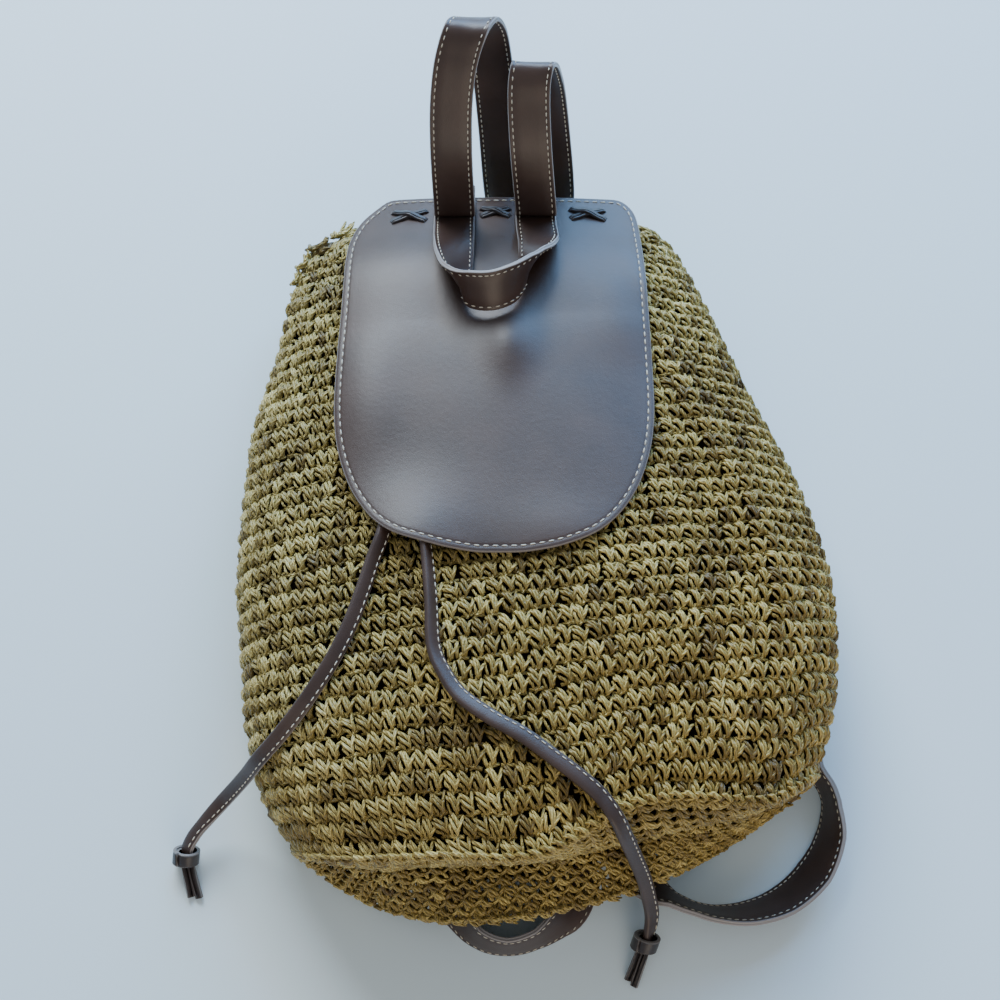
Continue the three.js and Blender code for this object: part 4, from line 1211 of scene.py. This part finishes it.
def straw_variants(label, strands, count, generator, sides=5):
    """A few stitches of one kind, no two alike, in a collection of their own."""
    kinds = bpy.data.collections.new(label)
    turns = np.arange(sides) * 2 * math.pi / sides
    for number in range(count):
        points, faces, corners, offset = [], [], [], 0
        for strand in strands:
            rows = np.array(strand)
            rows[:, :3] += generator.normal(0, STITCH_SPREAD, (len(rows), 3)) * np.array([1, 1, 0.5])
            rows[:, 3] *= 1 + generator.normal(0, 0.08)
            spans = len(rows) - 1
            places = [r[:3] for r in rows]
            line = [spline_point(places, min(i, spans - 1), i // spans) for i in range(spans + 1)]
            for (at, forward), radius in zip(line, rows[:, 3]):
                first = unit(np.cross(forward, [0, 0, 1.0]))
                second = np.cross(first, forward)
                points += [at + (first * math.cos(a) + second * math.sin(a)) * radius for a in turns]
            for i in range(spans):
                here, there = i / spans, (i + 1) / spans
                for k in range(sides):
                    n, at = (k + 1) % sides, offset + i * sides
                    faces.append((at + k, at + sides + k, at + sides + n, at + n))
                    corners += [(here, k / sides), (there, k / sides)]
                    corners += [(there, (k + 1) / sides), (here, (k + 1) / sides)]
            last = offset + spans * sides
            faces.append(tuple(offset + k for k in range(sides)))
            faces.append(tuple(last + k for k in reversed(range(sides))))
            corners += [(0, 0)] * sides + [(1, 0)] * sides
            offset = last + sides
        mesh = bpy.data.meshes.new(f"{label}_{number}")
        mesh.from_pydata([tuple(p * MM) for p in points], [], faces)
        mesh.uv_layers.new(name="fibre").data.foreach_set("uv", np.array(corners, float).ravel())
        kinds.objects.link(bpy.data.objects.new(mesh.name, mesh))
    return kinds


def inside_flap(points, border, margin):
    """Which points lie in plan inside the flap's outline by more than a margin."""
    centre = border.mean(axis=0)
    angles = np.arctan2(border[:, 1] - centre[1], border[:, 0] - centre[0])
    order = np.argsort(angles)
    reach = np.linalg.norm(border - centre, axis=1)
    at = np.arctan2(points[:, 1] - centre[1], points[:, 0] - centre[0])
    limit = np.interp(at, angles[order], reach[order], period=2 * math.pi)
    return np.linalg.norm(points[:, :2] - centre, axis=1) < limit - margin


def row_places(along, count, shift):
    """Stitch places of one row, evenly spaced round the bag, with their directions and spacing."""
    fine = -np.linspace(0, 2 * math.pi, ROUND_STEPS + 1)
    ring = skin(along, fine)
    lengths = run_lengths(ring)
    places = (np.arange(count) + shift) / count * lengths[-1]

    def on_ring(offset):
        return points_along((places + offset) % lengths[-1], lengths, ring)

    angles = np.interp(places % lengths[-1], lengths, fine)
    up = skin(min(along + ROW_REACH, 0.993), angles) - skin(max(along - ROW_REACH, 0.0), angles)
    outward = np.cross(up, on_ring(-ROUND_REACH) - on_ring(ROUND_REACH))
    outward /= np.linalg.norm(outward, axis=1, keepdims=True) + 1e-9
    return on_ring(0.0), up, outward, angles, lengths[-1] / count


def crochet(name, kinds, at, right, outward, size, tint, variant):
    """Crochet stitches of a few kinds at their places, as one piece."""
    made = grown(name, CROCHET, at, {"forward": right, "outward": outward, "size": size},
                 {"tint": tint, "variant": variant}, {"Stitches": kinds, "Material": STRAW})
    lift_off_floor(made)
    wear(made)


def make_crochet(border):
    """Rows of crochet stitches over the whole straw body."""
    generator = np.random.default_rng(SEED)
    full = straw_variants("straw_stitches", STITCH_STRANDS, KINDS, generator)
    flat = straw_variants("back_stitches", LEANING_STRANDS, KINDS, generator)
    row_step = (LAST_ROW - FIRST_ROW) / (ROWS - 1)
    rows = []
    for i in range(ROWS):
        at, up, outward, angles, pitch = row_places(FIRST_ROW + row_step * i, COLUMNS, 0.13 * i)
        right = np.cross(up, outward)
        right /= np.linalg.norm(right, axis=1, keepdims=True) + 1e-9
        rise = np.linalg.norm(up, axis=1) / (2 * ROW_REACH) * row_step
        size = np.column_stack([np.full(COLUMNS, max(pitch / STITCH_WIDTH, 0.62)),
                                np.clip(rise / STITCH_RISE, 0.75, 1.35), np.ones(COLUMNS)])
        rows.append((at, right, outward, size, angles))
    at, right, outward, size, angles = (np.concatenate([r[i] for r in rows]) for i in range(5))
    jitter = generator.normal(0, 0.5, at.shape)
    at = at + jitter - outward * np.sum(jitter * outward, axis=1, keepdims=True) * 0.6
    at = at - outward * STITCH_SUNK
    swing = generator.normal(0, 0.17, len(at))
    right = right + np.cross(outward, right) * swing[:, None]
    tint = np.clip(generator.normal(0.5, 0.26, len(at)), 0, 1)
    variant = generator.integers(0, KINDS, len(at))
    shown = ~(inside_flap(at, border, FLAP_COVER) & (outward[:, 2] > 0.35))
    on_ground = at[:, 2] < 3.0
    at[on_ground, 2] = np.maximum(at[on_ground, 2], 1.6)
    turn = np.degrees(angles) % 360
    quarters = (("front_right", full), ("front_left", full), ("back_left", flat), ("back_right", flat))
    for quarter, (name, kinds) in enumerate(quarters):
        chosen = (turn >= 90 * quarter) & (turn < 90 * (quarter + 1)) & shown
        crochet(f"crochet_{name}", kinds, at[chosen], right[chosen], outward[chosen], size[chosen],
                tint[chosen], variant[chosen])


def move_points(made, change):
    """Gives a mesh the heights that a function makes of its points' heights."""
    coords = np.empty(len(made.data.vertices) * 3)
    made.data.vertices.foreach_get("co", coords)
    coords[2::3] = change(coords[2::3])
    made.data.vertices.foreach_set("co", coords)
    made.data.update()


def lift_off_floor(made, least=0.0003, level=0.0016):
    """Presses what would go through the floor flat on it."""
    move_points(made, lambda z: np.where(
        z < level, least + (level - least) * np.exp(np.minimum(z - level, 0) / level), z))


def keep_above_floor(made, least=0.0001):
    """Moves up onto the floor every point that lies below it."""
    move_points(made, lambda z: np.maximum(z, least))


def make_base():
    """Rounds of stitches on the bag's base, worked outward from a line, and the chain on its border."""
    generator = np.random.default_rng(SEED + 1)
    kinds = straw_variants("base_stitches", STITCH_STRANDS, BASE_KINDS, generator)
    angles = -np.linspace(0, 2 * math.pi, 361)[:-1]
    rings, middle, out = base_rings(angles, np.linspace(0.08, 1.0, 24))
    edge = rings[-1]
    cap = outer_faces(rings, middle + out * BASE_BULGE)
    wide = np.array([-out[1], out[0], 0])
    reach = BASE_LINE_SHARE * section_at(0)["half"]
    spine = middle + np.clip((edge - middle) @ wide, -reach, reach)[:, None] * wide
    spokes = edge - spine
    closed_spokes = np.concatenate([spokes, spokes[:1]])
    rounds = int(round(np.linalg.norm(spokes, axis=1).max() / BASE_ROUND)) + 1
    places, forwards, outs, sizes = [], [], [], []
    for r in range(rounds):
        ring = spine + spokes * (1 - (r + BASE_FIRST_SHARE) / rounds)
        closed = np.concatenate([ring, ring[:1]])
        run = run_lengths(closed)
        count = max(6, int(run[-1] / STITCH_WIDTH))
        at = (np.arange(count) + 0.3 * r) / count * run[-1] % run[-1]
        picked = points_along(at, run, closed)
        ahead = np.roll(picked, -1, axis=0) - np.roll(picked, 1, axis=0)
        for p, s, along_ring in zip(picked, points_along(at, run, closed_spokes), ahead):
            level = unit(np.cross(along_ring, s))
            level = level if level @ out > 0 else -level
            nearest = cap.find_nearest(Vector(p + out * BASE_BULGE * 0.6))
            seat, normal = np.array(nearest[0]), np.array(nearest[1])
            if (seat - p) @ level < 0.5 or normal @ level < 0.5:
                seat, normal = p + level * 0.5, level
            right = unit(np.cross(s, normal))
            normal = unit(np.cross(right, s)) * 0.5 + normal * 0.5
            places.append(seat - normal * STITCH_SUNK)
            forwards.append(right)
            outs.append(normal)
            tall = max(np.linalg.norm(s) / rounds / STITCH_RISE, 0.72)
            sizes.append((run[-1] / count / STITCH_WIDTH, tall, 1.0))
    tint = np.clip(generator.normal(0.45, 0.2, len(places)), 0, 1)
    variant = generator.integers(0, BASE_KINDS, len(places))
    crochet("crochet_base", kinds, np.array(places), forwards, outs, sizes, tint, variant)
    kinds = straw_variants("chain_stitches", CHAIN_STRANDS, BASE_KINDS, generator)
    at, up, outward, _, pitch = row_places(ROW_REACH, CHAIN_COUNT, 0.0)
    corner = outward + 0.75 * out
    corner /= np.linalg.norm(corner, axis=1, keepdims=True)
    seats = at + corner * CHAIN_PROUD
    seats[:, 2] = np.maximum(seats[:, 2], 1.8)
    size = np.tile([pitch / 6.6, 1.0, 1.0], (len(at), 1))
    tint = np.clip(generator.normal(0.6, 0.15, len(at)), 0, 1)
    variant = generator.integers(0, BASE_KINDS, len(at))
    crochet("crochet_border_chain", kinds, seats, np.cross(up, outward), corner, size, tint, variant)


set_camera()
set_floor_and_lights()

DARK_BROWN, WARM_BROWN = (0.040, 0.022, 0.017), (0.062, 0.034, 0.025)
FLAP_LEATHER = leather("flap_leather", DARK_BROWN, WARM_BROWN, 0.40, 0.16)
STRAP_LEATHER = leather("strap_leather", DARK_BROWN, (0.066, 0.037, 0.028), 0.38, 0.12)
CORD_LEATHER = leather("cord_leather", (0.036, 0.020, 0.016), (0.075, 0.045, 0.035), 0.42, 0.2)
LACE_LEATHER = leather("lace_leather", (0.040, 0.034, 0.036), (0.066, 0.056, 0.060), 0.36, 0.14)
# The knots are the cords' own leather at about half its brightness, with darker edges: painted shade on the
# knots.
SHADED_KNOT_LEATHER = leather("knot_leather", (0.018, 0.012, 0.011), (0.036, 0.023, 0.020), 0.36, 0.2,
                       (0.20, 0.18, 0.17))
THREAD = thread_material()
STRAW = straw_material()
# Near-black: painted shade for the gaps between the straw stitches.
STRAW_SHADE = black_material("straw_shade", (0.006, 0.004, 0.002))
SEWING, CROCHET = sewing_tree(), crochet_tree()

body_tree = BVHTree.FromObject(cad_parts["straw_body"], bpy.context.evaluated_depsgraph_get())
make_drawstring("left", DRAWSTRING_LEFT, body_tree, 48, 0.5)
make_drawstring("right", DRAWSTRING_RIGHT, body_tree, 66, 0.45)

make_strap("handle_strap", handle_stations(), "handle")
left_strap = shoulder_strap_stations(SEAT_LEFT, -1, LEFT_LOOP, LEFT_RISE, LEFT_GROUND)
make_strap("shoulder_strap_left_strip", left_strap, "shoulder_strap_left")
right_strap = shoulder_strap_stations(SEAT_RIGHT, 1, RIGHT_LOOP, RIGHT_RISE, RIGHT_GROUND)
make_strap("shoulder_strap_right_strip", right_strap, "shoulder_strap_right")
make_flap()
for lace in LACES:
    make_lacing(*lace)

# A near-black shell under the stitches: painted shade in the gaps between them.
ground = mesh_object("straw_ground", *straw_shell(2.7, 3.5), STRAW_SHADE)
fix_outward(ground)
wear(ground, "straw_body")
make_crochet(flap_border())
make_base()
